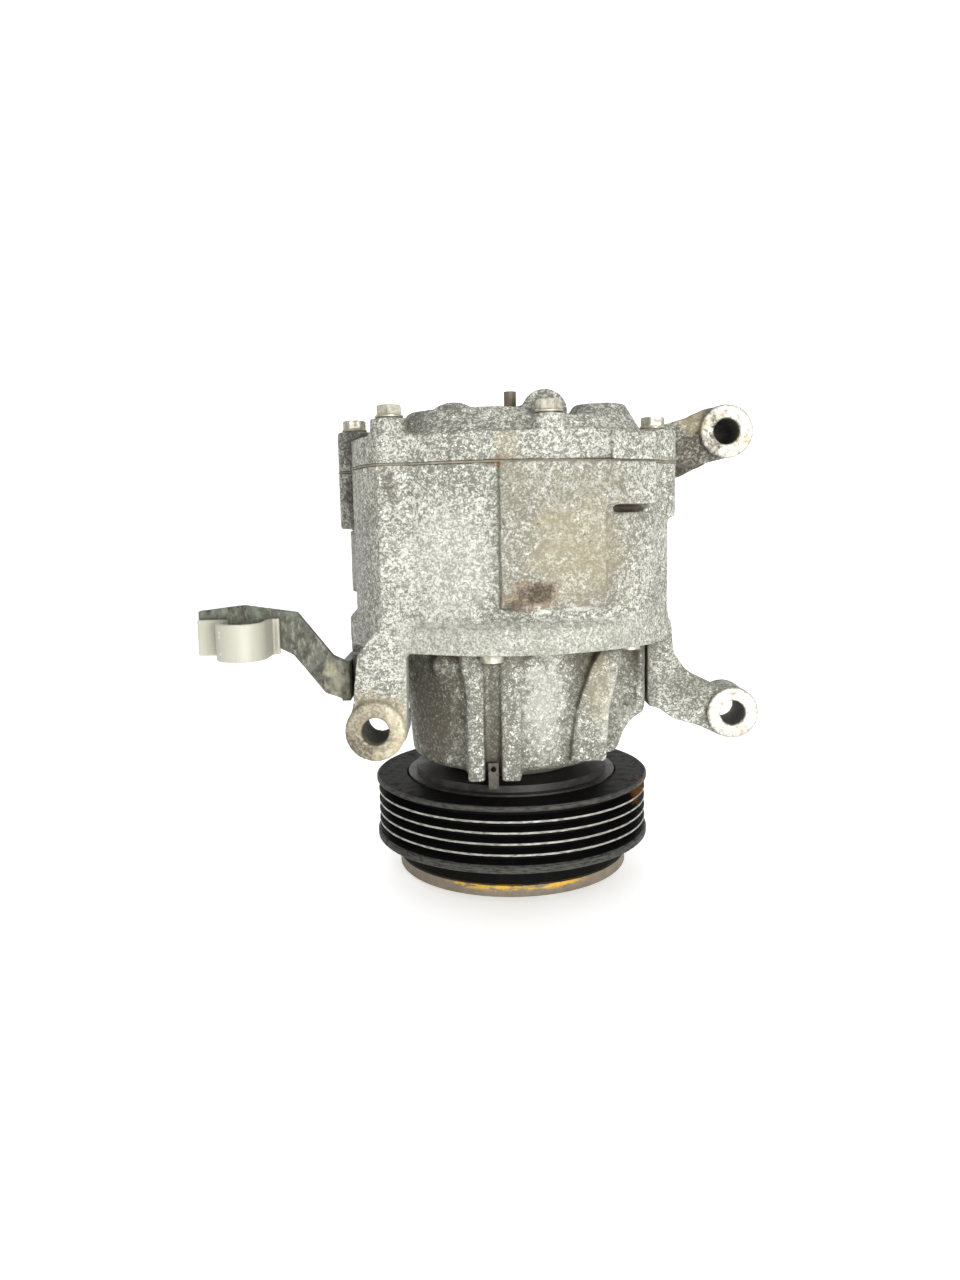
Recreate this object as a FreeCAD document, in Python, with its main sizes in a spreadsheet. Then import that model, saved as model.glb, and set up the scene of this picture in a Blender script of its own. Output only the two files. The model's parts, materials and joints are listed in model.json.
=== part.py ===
import FreeCAD, Part
import math
import os
import re
import Sketcher

# Scroll compressor for a car's air conditioning, with its electromagnetic clutch and belt pulley.
# Millimetres. +Z runs along the shaft from the clutch to the rear cover, -Y is the side with the
# flat pad, and the origin is on the shaft's axis in the plane of the clutch hub's front face.

SIZES = {
    # clutch hub, springs and armature, from the front face backwards
    "hub_radius": 22.0, "hub_thick": 2.2, "hub_boss_radius": 10.5, "hub_boss_end": 17.5,
    "hub_recess_radius": 9.0, "hub_recess_depth": 6.0, "hub_web": 2.0,
    "leaf_thick": 0.8, "leaf_width": 8.4, "leaf_sweep": 50.0, "leaf_count": 3.0,
    "rivet_radius": 1.6, "rivet_head_radius": 2.8, "rivet_head_height": 1.0,
    "hub_rivet_circle": 18.5, "armature_rivet_circle": 32.0,
    "armature_radius": 40.0, "armature_bore": 24.0, "armature_thick": 3.9,
    "air_gap": 0.5, "shim_thick": 0.6,
    # pulley and rotor
    "rotor_radius": 40.0, "rotor_bore": 24.0, "disc_thick": 4.0,
    "belt_plane": 24.8, "belt_pitch": 3.56, "crest_radius": 47.0, "groove_depth": 3.1,
    "groove_mouth": 1.48, "groove_floor": 0.35, "flange_radius": 47.6,
    "front_flange": 2.3, "rear_flange": 1.5, "rim_chamfer": 0.4,
    "coil_space_inner": 28.5, "coil_space_outer": 37.0,
    # pulley bearing
    "bearing_bore": 17.5, "bearing_outer": 26.0, "bearing_width": 20.0, "bearing_shoulder": 2.0,
    "pulley_ball": 2.4, "pulley_ball_count": 14.0, "ball_row_offset": 4.6,
    "bearing_ring_wall": 2.6, "ball_play": 0.04, "bearing_seal_thick": 0.8,
    "clip_thick": 1.2, "clip_groove": 0.9,
    # coil
    "coil_wall": 1.6, "coil_gap": 0.6, "coil_plate_radius": 33.5, "coil_plate_thick": 2.0,
    "coil_lug_width": 3.2, "coil_lug_height": 8.5, "coil_lug_thick": 1.2,
    # front housing
    "nose_tip": 10.4, "nose_shoulder_radius": 19.2, "seal_depth": 26.0,
    "seal_length": 7.0, "coil_seat": 38.0, "coil_seat_radius": 23.0, "drum_low": 42.0,
    "drum_low_radius": 34.5, "drum_high_radius": 37.8, "drum_round": 4.0, "drum_cavity": 28.0,
    "drum_floor": 6.0, "spigot_radius": 47.45, "spigot_low": 84.5, "housing_top": 91.0,
    "rib_front": 38.8, "rib_low": 40.4, "rib_one_left": 15.0, "rib_one_right": 9.1,
    "rib_two_left": 4.2, "rib_two_right": 2.6, "lobe_right": 46.0, "lobe_low": 58.5, "flare_front": 33.5,
    "round_mark_radius": 4.2, "round_mark_height": 0.9,
    # shaft and its bearings
    "tip_radius": 6.5, "tip_shoulder": 18.0, "journal_radius": 8.0, "main_radius": 12.5,
    "main_bearing_radius": 23.5, "main_bearing_low": 64.0, "main_bearing_width": 12.0,
    "main_ball": 3.9, "main_ball_count": 9.0, "main_ring_wall": 3.3,
    "crank_disc_radius": 15.0, "crank_disc_thick": 3.0, "crank_radius": 3.6, "pin_radius": 5.0,
    "needle_radius": 1.75, "needle_count": 14.0, "needle_low": 27.2, "needle_length": 9.0,
    "needle_play": 0.05, "needle_cup_wall": 1.4, "hub_screw_radius": 3.0, "hub_screw_length": 24.0,
    "hub_screw_head": 6.4, "hub_screw_head_height": 4.6, "screw_play": 0.05,
    # crank, bush and scrolls
    "crank_chamber": 25.0, "bush_radius": 9.0, "bush_low": 79.4, "bush_top": 91.0,
    "weight_inner": 17.6, "weight_outer": 24.0, "weight_height": 8.0, "weight_plate": 1.6,
    "orbit_hub_radius": 13.4, "orbit_hub_low": 82.0, "orbit_bearing_wall": 1.4,
    "thrust_thick": 1.0, "orbit_plate_radius": 37.0, "orbit_plate_thick": 6.0, "end_play": 0.1,
    "wrap_pitch": 14.0, "wrap_thick": 3.2, "wrap_height": 30.0, "wrap_start": 3.4, "wrap_end": 14.4,
    "tip_seal_width": 1.4, "tip_seal_depth": 1.3,
    "guide_circle": 29.5, "guide_pin_radius": 1.9, "guide_ring_wall": 1.0, "guide_count": 4.0,
    "guide_play": 0.15, "guide_pin_depth": 6.0, "guide_pin_rise": 4.0,
    "fixed_plate_radius": 42.0, "fixed_plate_thick": 8.0, "discharge_radius": 3.5,
    "scroll_chamber": 41.0,
    "reed_hinge": -14.5, "reed_tip": 5.0, "reed_root_length": 8.5, "reed_screw_inset": 4.0,
    "reed_width": 10.0, "reed_thick": 0.4, "stop_thick": 2.0, "stop_lift": 2.0,
    "reed_screw_radius": 2.0,
    # centre housing
    "shell_low": 83.0, "shell_top": 140.0, "shell_radius": 51.5, "front_arc": 65.4,
    "front_arc_centre": 13.4, "band_top": 93.0, "band_radius": 55.0, "skirt_bore": 47.5,
    "shell_right": 51.5, "shell_left": 50.5, "pillar_left": 40.0, "pillar_right": 31.0,
    "pillar_front": 45.0, "corner_right": 44.0, "corner_front": 35.0,
    "pad_width": 32.5, "pad_low": 97.0, "pad_proud": 0.6, "pad_turn": 10.8,
    "slot_left": 27.0, "slot_height": 1.8, "slot_floor": 36.8,
    "boss_radius": 7.5, "boss_drop": 13.0, "left_boss_drop": 19.5,
    "left_pad_reach": 53.4, "left_pad_low": 99.5, "left_pad_top": 120.5,
    "foot_pad_reach": 53.0, "foot_pad_low": 64.0, "foot_pad_top": 92.0,
    # mounting ears
    "ear_bore": 4.25, "ear_left_x": -42.8, "ear_left_z": 59.5, "ear_left_front": -46.5,
    "ear_left_radius": 9.3, "ear_left_length": 22.0,
    "ear_right_x": 75.9, "ear_right_z": 55.9, "ear_right_front": -12.0, "ear_right_radius": 8.8,
    "ear_right_length": 18.0, "ear_top_x": 72.6, "ear_top_z": 150.6, "ear_top_length": 42.0,
    "ear_top_radius": 8.8, "arm_depth": 16.0,
    # rear cover
    "gasket_thick": 0.5, "cover_top": 149.5, "cover_wall": 5.0, "dome_top": 157.0,
    "dome_radius": 28.0, "lobe_top": 158.0, "lobe_radius": 11.0, "cover_boss_top": 154.4,
    "right_boss_top": 151.0, "port_radius": 8.2, "port_height": 159.3, "port_offset": 13.5,
    "port_front": 2.0, "port_back": 50.0, "port_block": 16.0, "port_bore": 6.2, "port_depth": 22.0,
    "suction_offset": -18.0, "suction_height": 153.0, "suction_bore": 8.5, "suction_radius": 12.0,
    "port_screw_offset": 0.5, "port_screw_height": 153.0, "port_screw_radius": 3.0,
    "port_screw_depth": 12.0, "stub_radius": 2.2, "stub_height": 5.0,
    "relief_x": 33.0, "relief_z": 149.0, "relief_hex": 6.0, "relief_length": 12.0,
    # screws that close the casing
    "screw_radius": 2.5, "screw_hex": 7.0, "screw_head_height": 2.9, "washer_radius": 4.3,
    "washer_thick": 0.8, "screw_grip": 13.0, "front_screw_circle": 43.8, "front_screw_length": 16.0,
    "front_screw_count": 5.0, "front_screw_head": 3.6, "front_screw_head_height": 4.5,
    "front_screw_radius": 2.5,
    "front_screw_phase": -98.7,
    # bracket and clip
    "arm_back": -19.5, "arm_thick": 3.0, "arm_tab_depth": 26.0, "arm_low": 64.7, "arm_tab_top": 77.7,
    "clip_width": 12.8, "clip_strap": 1.6, "clip_x": -85.5, "clip_front": -41.0, "clip_low": 80.8,
    "clip_height": 12.0, "clip_tail": 8.6, "clip_stub": 2.2,
    # clearances between pieces that fit together
    "fit_play": 0.05, "hole_play": 0.3,
}

# Places along the shaft and round it that follow from the sizes above.
PLACES = {
    "armature_front": "hub_thick + leaf_thick",
    "armature_back": "armature_front + armature_thick",
    "rotor_front": "armature_back + air_gap",
    "disc_back": "rotor_front + disc_thick",
    "grooves_low": "belt_plane - 2.5 * belt_pitch",
    "grooves_high": "belt_plane + 2.5 * belt_pitch",
    "rotor_back": "grooves_high + rear_flange",
    "bearing_low": "disc_back + bearing_shoulder",
    "bearing_high": "bearing_low + bearing_width",
    "groove_bottom": "crest_radius - groove_depth",
    "nose_radius": "bearing_bore - fit_play",
    "seal_bore": "journal_radius + 2 * needle_radius + 2 * needle_play + needle_cup_wall",
    "pulley_ball_circle": "(bearing_bore + bearing_outer) / 2",
    "main_ball_circle": "(main_radius + main_bearing_radius) / 2",
    "coil_plate_low": "coil_seat - coil_plate_thick",
    "shaft_tip": "hub_recess_depth + hub_web + shim_thick",
    "main_bearing_high": "main_bearing_low + main_bearing_width",
    "crank_disc_top": "main_bearing_high + crank_disc_thick",
    "orbit_plate_low": "housing_top + thrust_thick + end_play",
    "orbit_plate_top": "orbit_plate_low + orbit_plate_thick",
    "fixed_plate_low": "orbit_plate_top + wrap_height + end_play",
    "fixed_plate_top": "fixed_plate_low + fixed_plate_thick",
    "guide_ring_bore": "crank_radius + guide_pin_radius + guide_play",
    "guide_ring_outer": "guide_ring_bore + guide_ring_wall",
    "cover_low": "shell_top + gasket_thick",
    "seal_low": "seal_depth - seal_length",
}

# Screws that hold the rear cover: place across the shaft, the cover's boss height and boss radius.
COVER_SCREWS = [
    ("-52.5", "8", "cover_boss_top", "boss_radius - 1.3"),
    ("-36.2", "-39", "cover_boss_top", "boss_radius - 1.5"),
    ("11.5", "-45.6", "cover_boss_top", "boss_radius - 2.2"),
    ("46.6", "-20", "right_boss_top", "boss_radius"),
    ("47", "24", "right_boss_top", "boss_radius"),
    ("-38", "36", "cover_boss_top", "boss_radius"),
]

TURNS = {
    "z": FreeCAD.Rotation(),
    "y": FreeCAD.Rotation(FreeCAD.Vector(1, 0, 0), -90),
    "-y": FreeCAD.Rotation(FreeCAD.Vector(1, 0, 0), 90),
    "x": FreeCAD.Rotation(FreeCAD.Vector(0, 1, 0), 90),
    "-x": FreeCAD.Rotation(FreeCAD.Vector(0, 1, 0), -90),
}

doc = FreeCAD.newDocument("scroll_compressor")
sheet = doc.addObject("Spreadsheet::Sheet", "Sizes")
finished = []


def fill_sheet():
    """Writes every driving size to the sheet, each under its own alias."""
    for row, (alias, number) in enumerate(SIZES.items(), start=1):
        sheet.set("A%d" % row, alias)
        sheet.set("B%d" % row, str(number))
        sheet.setAlias("B%d" % row, alias)
    doc.recompute()


def bound(text):
    """Spells an expression out in the sheet's aliases, opening up the named places."""
    def spell(word):
        name = word.group()
        if name in PLACES:
            return "(" + bound(PLACES[name]) + ")"
        return "Sizes." + name if name in SIZES else name
    return re.sub(r"[A-Za-z_]\w*", spell, str(text))


def measure(text):
    """The present value of an expression."""
    return float(sheet.evalExpression(bound(text)))


def bind(thing, **sizes):
    for name, text in sizes.items():
        thing.setExpression(name, bound(text))


def place(thing, at, along="z"):
    thing.Placement.Rotation = TURNS[along]
    for axis, text in zip("xyz", at):
        thing.setExpression("Placement.Base." + axis, bound(text))


def finish(thing, label):
    """Marks a document object as one of the pieces that are written out."""
    thing.Label = label
    finished.append(thing)
    return thing


# Part primitives and booleans -------------------------------------------------------------------

def cylinder(radius, height, at, along="z"):
    thing = doc.addObject("Part::Cylinder", "Cylinder")
    bind(thing, Radius=radius, Height=height)
    place(thing, at, along)
    return thing


def cone(low_radius, high_radius, height, at, along="z"):
    thing = doc.addObject("Part::Cone", "Cone")
    bind(thing, Radius1=low_radius, Radius2=high_radius, Height=height)
    place(thing, at, along)
    return thing


def block(size, at):
    """A box from its low corner."""
    thing = doc.addObject("Part::Box", "Box")
    bind(thing, Length=size[0], Width=size[1], Height=size[2])
    place(thing, at)
    return thing


def sphere(radius, at):
    thing = doc.addObject("Part::Sphere", "Sphere")
    bind(thing, Radius=radius)
    place(thing, at)
    return thing


def hexagon(flats, height, at, along="z"):
    thing = doc.addObject("Part::Prism", "Prism")
    thing.Polygon = 6
    bind(thing, Circumradius="(%s) / 2 / cos(30)" % flats, Height=height)
    place(thing, at, along)
    return thing


def fuse(pieces):
    thing = doc.addObject("Part::MultiFuse", "Fuse")
    thing.Shapes = pieces
    return thing


def group(pieces):
    """Separate solids that share one node."""
    thing = doc.addObject("Part::Compound", "Compound")
    thing.Links = pieces
    return thing


def cut(base, tools):
    thing = doc.addObject("Part::Cut", "Cut")
    thing.Base = base
    thing.Tool = tools[0] if len(tools) == 1 else fuse(tools)
    return thing


def common(one, other):
    thing = doc.addObject("Part::Common", "Common")
    thing.Base = one
    thing.Tool = other
    return thing


def around(count, circle, phase=0):
    """Places on a circle about the shaft's axis, as pairs of expressions."""
    total = round(measure(count))
    angles = ["%s + %d * 360 / %d" % (phase, step, total) for step in range(total)]
    return [("(%s) * cos(%s)" % (circle, angle), "(%s) * sin(%s)" % (circle, angle)) for angle in angles]


# Sketches ---------------------------------------------------------------------------------------

def outline(sketch, points):
    """A closed outline whose corners are bound to expressions."""
    spots = [FreeCAD.Vector(measure(across), measure(up), 0) for across, up in points]
    for start, end in zip(spots, spots[1:] + spots[:1]):
        sketch.addGeometry(Part.LineSegment(start, end))
    for index in range(len(points)):
        following = (index + 1) % len(points)
        sketch.addConstraint(Sketcher.Constraint("Coincident", index, 2, following, 1))
    for index, corner in enumerate(points):
        for kind, text in zip(("DistanceX", "DistanceY"), corner):
            number = sketch.addConstraint(Sketcher.Constraint(kind, -1, 1, index, 1, measure(text)))
            sketch.setExpression("Constraints[%d]" % number, bound(text))
    return sketch


def circle(sketch, radius, across="0", up="0"):
    """A circle whose radius and centre are bound to expressions."""
    centre = FreeCAD.Vector(measure(across), measure(up), 0)
    index = sketch.addGeometry(Part.Circle(centre, FreeCAD.Vector(0, 0, 1), measure(radius)))
    sizes = [("Radius", (index,), radius), ("DistanceX", (-1, 1, index, 3), across)]
    sizes.append(("DistanceY", (-1, 1, index, 3), up))
    for kind, where, text in sizes:
        number = sketch.addConstraint(Sketcher.Constraint(kind, *where, measure(text)))
        sketch.setExpression("Constraints[%d]" % number, bound(text))
    return sketch


def prism(points, length, level, plane="xy"):
    """An outline pushed out: up from level in the xy plane, or towards -Y from level in the xz plane."""
    sketch = doc.addObject("Sketcher::SketchObject", "Outline")
    outline(sketch, points)
    place(sketch, ("0", "0", level) if plane == "xy" else ("0", level, "0"), "z" if plane == "xy" else "-y")
    thing = doc.addObject("Part::Extrusion", "Prism")
    thing.Base = sketch
    thing.DirMode = "Normal"
    thing.Solid = True
    bind(thing, LengthFwd=length)
    return thing


# Bodies -----------------------------------------------------------------------------------------

def sketch_in(body, role, level="0"):
    """A sketch on one of its body's origin planes, raised to a level."""
    sketch = body.newObject("Sketcher::SketchObject", "Profile")
    plane = [feature for feature in body.Origin.OriginFeatures if feature.Role == role][0]
    sketch.AttachmentSupport = [(plane, "")]
    sketch.MapMode = "FlatFace"
    sketch.setExpression("AttachmentOffset.Base.z", bound(level))
    return sketch


def turned(label, points):
    """A body turned about the shaft's axis; its corners are (radius, height) pairs."""
    body = doc.addObject("PartDesign::Body", "Body")
    sketch = outline(sketch_in(body, "XZ_Plane"), points)
    turn = body.newObject("PartDesign::Revolution", "Turned")
    turn.Profile = sketch
    turn.ReferenceAxis = (sketch, ["V_Axis"])
    turn.Angle = 360
    doc.recompute()
    return finish(body, label)


def tube(label, inner, outer, low, high):
    return turned(label, [(inner, low), (outer, low), (outer, high), (inner, high)])


def raceway(body, ball, pitch_circle, level):
    """A round groove for the balls, turned into a bearing ring."""
    sketch = circle(sketch_in(body, "XZ_Plane"), "%s + ball_play" % ball, pitch_circle, level)
    groove = body.newObject("PartDesign::Groove", "Raceway")
    groove.Profile = sketch
    groove.ReferenceAxis = (sketch, ["V_Axis"])
    groove.Angle = 360
    doc.recompute()


def drill(body, circles, low, depth, count=None):
    """Round holes up from a level, repeated about the axis when a count is given."""
    sketch = sketch_in(body, "XY_Plane", low)
    for radius, across, up in circles:
        circle(sketch, radius, across, up)
    pocket = body.newObject("PartDesign::Pocket", "Holes")
    pocket.Profile = sketch
    pocket.Reversed = True
    bind(pocket, Length=depth)
    doc.recompute()
    if count:
        pattern = body.newObject("PartDesign::PolarPattern", "Round")
        pattern.Originals = [pocket]
        pattern.Axis = (sketch, ["N_Axis"])
        pattern.Angle = 360
        bind(pattern, Occurrences=count)
        body.Tip = pattern
        doc.recompute()


def balls(label, radius, pitch_circle, count, levels):
    spots = [(across, up, level) for level in levels for across, up in around(count, pitch_circle)]
    return finish(group([sphere(radius, spot) for spot in spots]), label)


# Clutch -----------------------------------------------------------------------------------------

def clutch_hub():
    web_top = "hub_recess_depth + hub_web"
    hub = turned("clutch_hub", [
        ("hub_recess_radius", "0"), ("hub_radius", "0"), ("hub_radius", "hub_thick"),
        ("hub_boss_radius", "hub_thick"), ("hub_boss_radius", "hub_boss_end"),
        ("tip_radius + fit_play", "hub_boss_end"), ("tip_radius + fit_play", web_top),
        ("hub_screw_radius + hole_play", web_top), ("hub_screw_radius + hole_play", "hub_recess_depth"),
        ("hub_recess_radius", "hub_recess_depth")])
    drill(hub, [("rivet_radius", "hub_rivet_circle", "0")], "0", "hub_thick", "leaf_count")


def armature_plate():
    plate = turned("armature_plate", [
        ("armature_bore", "armature_front"), ("armature_radius - 0.4", "armature_front"),
        ("armature_radius", "armature_front + 0.4"), ("armature_radius", "armature_back"),
        ("armature_bore", "armature_back")])
    spot = ("armature_rivet_circle * cos(leaf_sweep)", "armature_rivet_circle * sin(leaf_sweep)")
    drill(plate, [("rivet_radius",) + spot], "armature_front", "armature_thick", "leaf_count")


def leaf_springs():
    """Flat springs from the hub's flange to the armature, one after another round the hub."""
    strips = []
    hub_ends = around("leaf_count", "hub_rivet_circle")
    far_ends = around("leaf_count", "armature_rivet_circle", "leaf_sweep")
    for near, far in zip(hub_ends, far_ends):
        strips.append(cut(strap(near, far), [
            cylinder("rivet_radius", "leaf_thick", near + ("hub_thick",)),
            cylinder("rivet_radius", "leaf_thick", far + ("hub_thick",))]))
    finish(group(strips), "leaf_springs")


def strap(near, far):
    """A flat strip with round ends between two places."""
    ends = [cylinder("leaf_width / 2", "leaf_thick", spot + ("hub_thick",)) for spot in (near, far)]
    run = "sqrt((%s - %s) ^ 2 + (%s - %s) ^ 2)" % (far[0], near[0], far[1], near[1])
    across = "(leaf_width / 2) * (%s - %s) / %s" % (far[1], near[1], run)
    up = "(leaf_width / 2) * (%s - %s) / %s" % (near[0], far[0], run)
    corners = [("%s + %s" % (x, sign + across), "%s + %s" % (y, sign + up))
               for (x, y), sign in ((near, ""), (far, ""), (far, "-1 * "), (near, "-1 * "))]
    return fuse(ends + [prism(corners, "leaf_thick", "hub_thick")])


def rivets():
    """Hub rivets are headed behind the flange, armature rivets in front of the springs."""
    hub_rivets = []
    for spot in around("leaf_count", "hub_rivet_circle"):
        shank = cylinder("rivet_radius", "armature_front - 0.2", spot + ("0.2",))
        head = cylinder("rivet_head_radius", "rivet_head_height", spot + ("armature_front",))
        hub_rivets.append(fuse([shank, head]))
    finish(group(hub_rivets), "hub_rivets")
    armature_rivets = []
    for spot in around("leaf_count", "armature_rivet_circle", "leaf_sweep"):
        shank = cylinder("rivet_radius", "armature_back - 0.2 - hub_thick", spot + ("hub_thick",))
        head = cylinder("rivet_head_radius", "rivet_head_height", spot + ("hub_thick - rivet_head_height",))
        armature_rivets.append(fuse([shank, head]))
    finish(group(armature_rivets), "armature_rivets")


def hub_screw():
    head_low = "hub_recess_depth - hub_screw_head_height"
    head = hexagon("hub_screw_head * 1.5", "hub_screw_head_height - 1", ("0", "0", head_low))
    flange = cylinder("hub_screw_head", "1", ("0", "0", "hub_recess_depth - 1"))
    shank = cylinder("hub_screw_radius", "hub_screw_length", ("0", "0", "hub_recess_depth"))
    finish(fuse([head, flange, shank]), "hub_bolt")
    tube("air_gap_shim", "hub_screw_radius + hole_play", "tip_radius - 0.2",
         "shaft_tip - shim_thick", "shaft_tip")


def pulley_rotor():
    """Friction disc, bearing seat and grooved rim, all one turned piece."""
    rim = []
    for step in range(5):
        centre = "grooves_low + %.1f * belt_pitch" % (step + 0.5)
        for radius, offset in (("crest_radius", "- groove_mouth"), ("groove_bottom", "- groove_floor"),
                               ("groove_bottom", "+ groove_floor"), ("crest_radius", "+ groove_mouth")):
            rim.append((radius, "%s %s" % (centre, offset)))
    front = "grooves_low - front_flange"
    rotor = turned("pulley_rotor", [
        ("rotor_bore", "rotor_front"), ("rotor_radius - rim_chamfer", "rotor_front"),
        ("rotor_radius", "rotor_front + rim_chamfer"), ("rotor_radius", front),
        ("flange_radius - rim_chamfer", front), ("flange_radius", "%s + rim_chamfer" % front),
        ("flange_radius", "grooves_low - 0.2")] + rim + [
        ("flange_radius", "grooves_high + 0.2"), ("flange_radius", "rotor_back - rim_chamfer"),
        ("flange_radius - rim_chamfer", "rotor_back"), ("coil_space_outer", "rotor_back"),
        ("coil_space_outer", "disc_back"), ("coil_space_inner", "disc_back"),
        ("coil_space_inner", "rotor_back"), ("bearing_outer", "rotor_back"),
        ("bearing_outer", "bearing_high + clip_thick + fit_play"),
        ("bearing_outer + clip_groove", "bearing_high + clip_thick + fit_play"),
        ("bearing_outer + clip_groove", "bearing_high"), ("bearing_outer", "bearing_high"),
        ("bearing_outer", "bearing_low"), ("rotor_bore", "bearing_low")])
    return rotor


def pulley_bearing():
    middle = "(bearing_low + bearing_high) / 2"
    rows = ["%s - ball_row_offset" % middle, "%s + ball_row_offset" % middle]
    inner = tube("pulley_bearing_inner_ring", "bearing_bore", "bearing_bore + bearing_ring_wall",
                 "bearing_low", "bearing_high")
    outer = tube("pulley_bearing_outer_ring", "bearing_outer - bearing_ring_wall",
                 "bearing_outer - 0.01", "bearing_low", "bearing_high")
    for row in rows:
        raceway(inner, "pulley_ball", "pulley_ball_circle", row)
        raceway(outer, "pulley_ball", "pulley_ball_circle", row)
    balls("pulley_bearing_balls", "pulley_ball", "pulley_ball_circle", "pulley_ball_count", rows)
    lip = "bearing_bore + bearing_ring_wall + 0.3"
    wall = "bearing_outer - bearing_ring_wall - 0.01"
    washers = []
    for low in ("bearing_low + 0.3", "bearing_high - bearing_seal_thick - 0.3"):
        disc = cylinder(wall, "bearing_seal_thick", ("0", "0", low))
        washers.append(cut(disc, [cylinder(lip, "bearing_seal_thick", ("0", "0", low))]))
    finish(group(washers), "pulley_bearing_seals")


def spring_clip(label, inner, outer, low):
    """A flat retaining ring, open over a few millimetres."""
    whole = cylinder(outer, "clip_thick", ("0", "0", low))
    hole = cylinder(inner, "clip_thick", ("0", "0", low))
    gap = block(("%s + 1" % outer, "5", "clip_thick"), ("0", "-2.5", low))
    return finish(cut(whole, [hole, gap]), label)


def clutch_clips():
    spring_clip("pulley_retaining_ring", "bearing_outer - 1.6", "bearing_outer + clip_groove - 0.1",
                "bearing_high + 0.02")
    spring_clip("bearing_retaining_ring", "nose_radius - clip_groove + 0.1", "nose_radius + 1.8",
                "bearing_low - clip_thick - 0.02")
    spring_clip("coil_retaining_ring", "nose_shoulder_radius - clip_groove + 0.1",
                "nose_shoulder_radius + 1.8", "coil_plate_low - clip_thick - 0.02")
    spring_clip("seal_retaining_ring", "seal_bore - 2.2", "seal_bore + clip_groove - 0.1",
                "seal_low - clip_thick - 0.02")


def clutch_coil():
    """A channel ring open to the front, with its winding, on a flat mounting plate."""
    inner = "coil_space_inner + coil_gap"
    outer = "coil_space_outer - coil_gap"
    low = "disc_back + 1"
    ring_inner = "nose_shoulder_radius + 0.1"
    turned("coil_housing", [
        (inner, low), ("%s + coil_wall" % inner, low), ("%s + coil_wall" % inner, "coil_plate_low - 2"),
        ("%s - coil_wall" % outer, "coil_plate_low - 2"), ("%s - coil_wall" % outer, low), (outer, low),
        (outer, "coil_plate_low - 0.3"), ("coil_plate_radius", "coil_plate_low - 0.3"),
        ("coil_plate_radius", "coil_seat"), (ring_inner, "coil_seat"), (ring_inner, "coil_plate_low"),
        (inner, "coil_plate_low")])
    tube("coil_winding", "%s + coil_wall + 0.02" % inner, "%s - coil_wall - 0.02" % outer,
         "%s + 0.5" % low, "coil_plate_low - 2.02")
    coil_lug()


def coil_lug():
    """A bent earth tag that stands on the coil's plate, in the slot between the two front ribs."""
    middle = "-1 * (rib_one_right + rib_two_left) / 2"
    left = "%s - coil_lug_width / 2" % middle
    front = "-1 * rib_front + 1.6"
    foot_low = "coil_seat + 0.02"
    tag = block(("coil_lug_width", "coil_lug_thick", "coil_lug_height"), (left, front, foot_low))
    foot = block(("coil_lug_width", "6.5", "coil_lug_thick"), (left, front, foot_low))
    eye = cylinder("0.9", "4", (middle, "%s - 1" % front, "coil_seat + coil_lug_height - 2"), "y")
    finish(cut(fuse([tag, foot]), [eye]), "coil_lug")


# Shaft, bearings and seal -----------------------------------------------------------------------

def drive_shaft():
    shaft = turned("drive_shaft", [
        ("0", "shaft_tip"), ("tip_radius", "shaft_tip"), ("tip_radius", "tip_shoulder"),
        ("journal_radius", "tip_shoulder"), ("journal_radius", "main_bearing_low - 3"),
        ("main_radius", "main_bearing_low - 1"), ("main_radius", "main_bearing_high"),
        ("crank_disc_radius", "main_bearing_high"), ("crank_disc_radius", "crank_disc_top"),
        ("0", "crank_disc_top")])
    drill(shaft, [("hub_screw_radius + screw_play", "0", "0")], "shaft_tip",
          "hub_screw_length - hub_web - shim_thick + 2")
    sketch = circle(sketch_in(shaft, "XY_Plane", "crank_disc_top"), "pin_radius", "crank_radius", "0")
    pin = shaft.newObject("PartDesign::Pad", "CrankPin")
    pin.Profile = sketch
    bind(pin, Length="bush_top - crank_disc_top - 0.4")
    doc.recompute()


def front_bearing():
    inner = "journal_radius + 2 * needle_radius + 2 * needle_play"
    tube("front_bearing_cup", inner, "seal_bore - 0.01",
         "needle_low - 0.4", "needle_low + needle_length + 0.4")
    circle_radius = "journal_radius + needle_radius + needle_play"
    rollers = [cylinder("needle_radius", "needle_length", spot + ("needle_low",))
               for spot in around("needle_count", circle_radius)]
    finish(group(rollers), "front_bearing_rollers")


def main_bearing():
    middle = "(main_bearing_low + main_bearing_high) / 2"
    inner = tube("main_bearing_inner_ring", "main_radius + 0.01", "main_radius + main_ring_wall",
                 "main_bearing_low", "main_bearing_high - 0.01")
    outer = tube("main_bearing_outer_ring", "main_bearing_radius - main_ring_wall",
                 "main_bearing_radius - 0.01", "main_bearing_low", "main_bearing_high")
    raceway(inner, "main_ball", "main_ball_circle", middle)
    raceway(outer, "main_ball", "main_ball_circle", middle)
    balls("main_bearing_balls", "main_ball", "main_ball_circle", "main_ball_count", [middle])


def shaft_seal():
    lip = "journal_radius + 0.05"
    turned("shaft_seal", [
        (lip, "seal_low + 2"), ("journal_radius + 1.4", "seal_low + 2"),
        ("journal_radius + 1.4", "seal_low"), ("seal_bore - 0.02", "seal_low"),
        ("seal_bore - 0.02", "seal_depth"), ("journal_radius + 2.4", "seal_depth"),
        ("journal_radius + 2.4", "seal_low + 4"), (lip, "seal_low + 3")])


# Scrolls and crank ------------------------------------------------------------------------------

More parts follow.
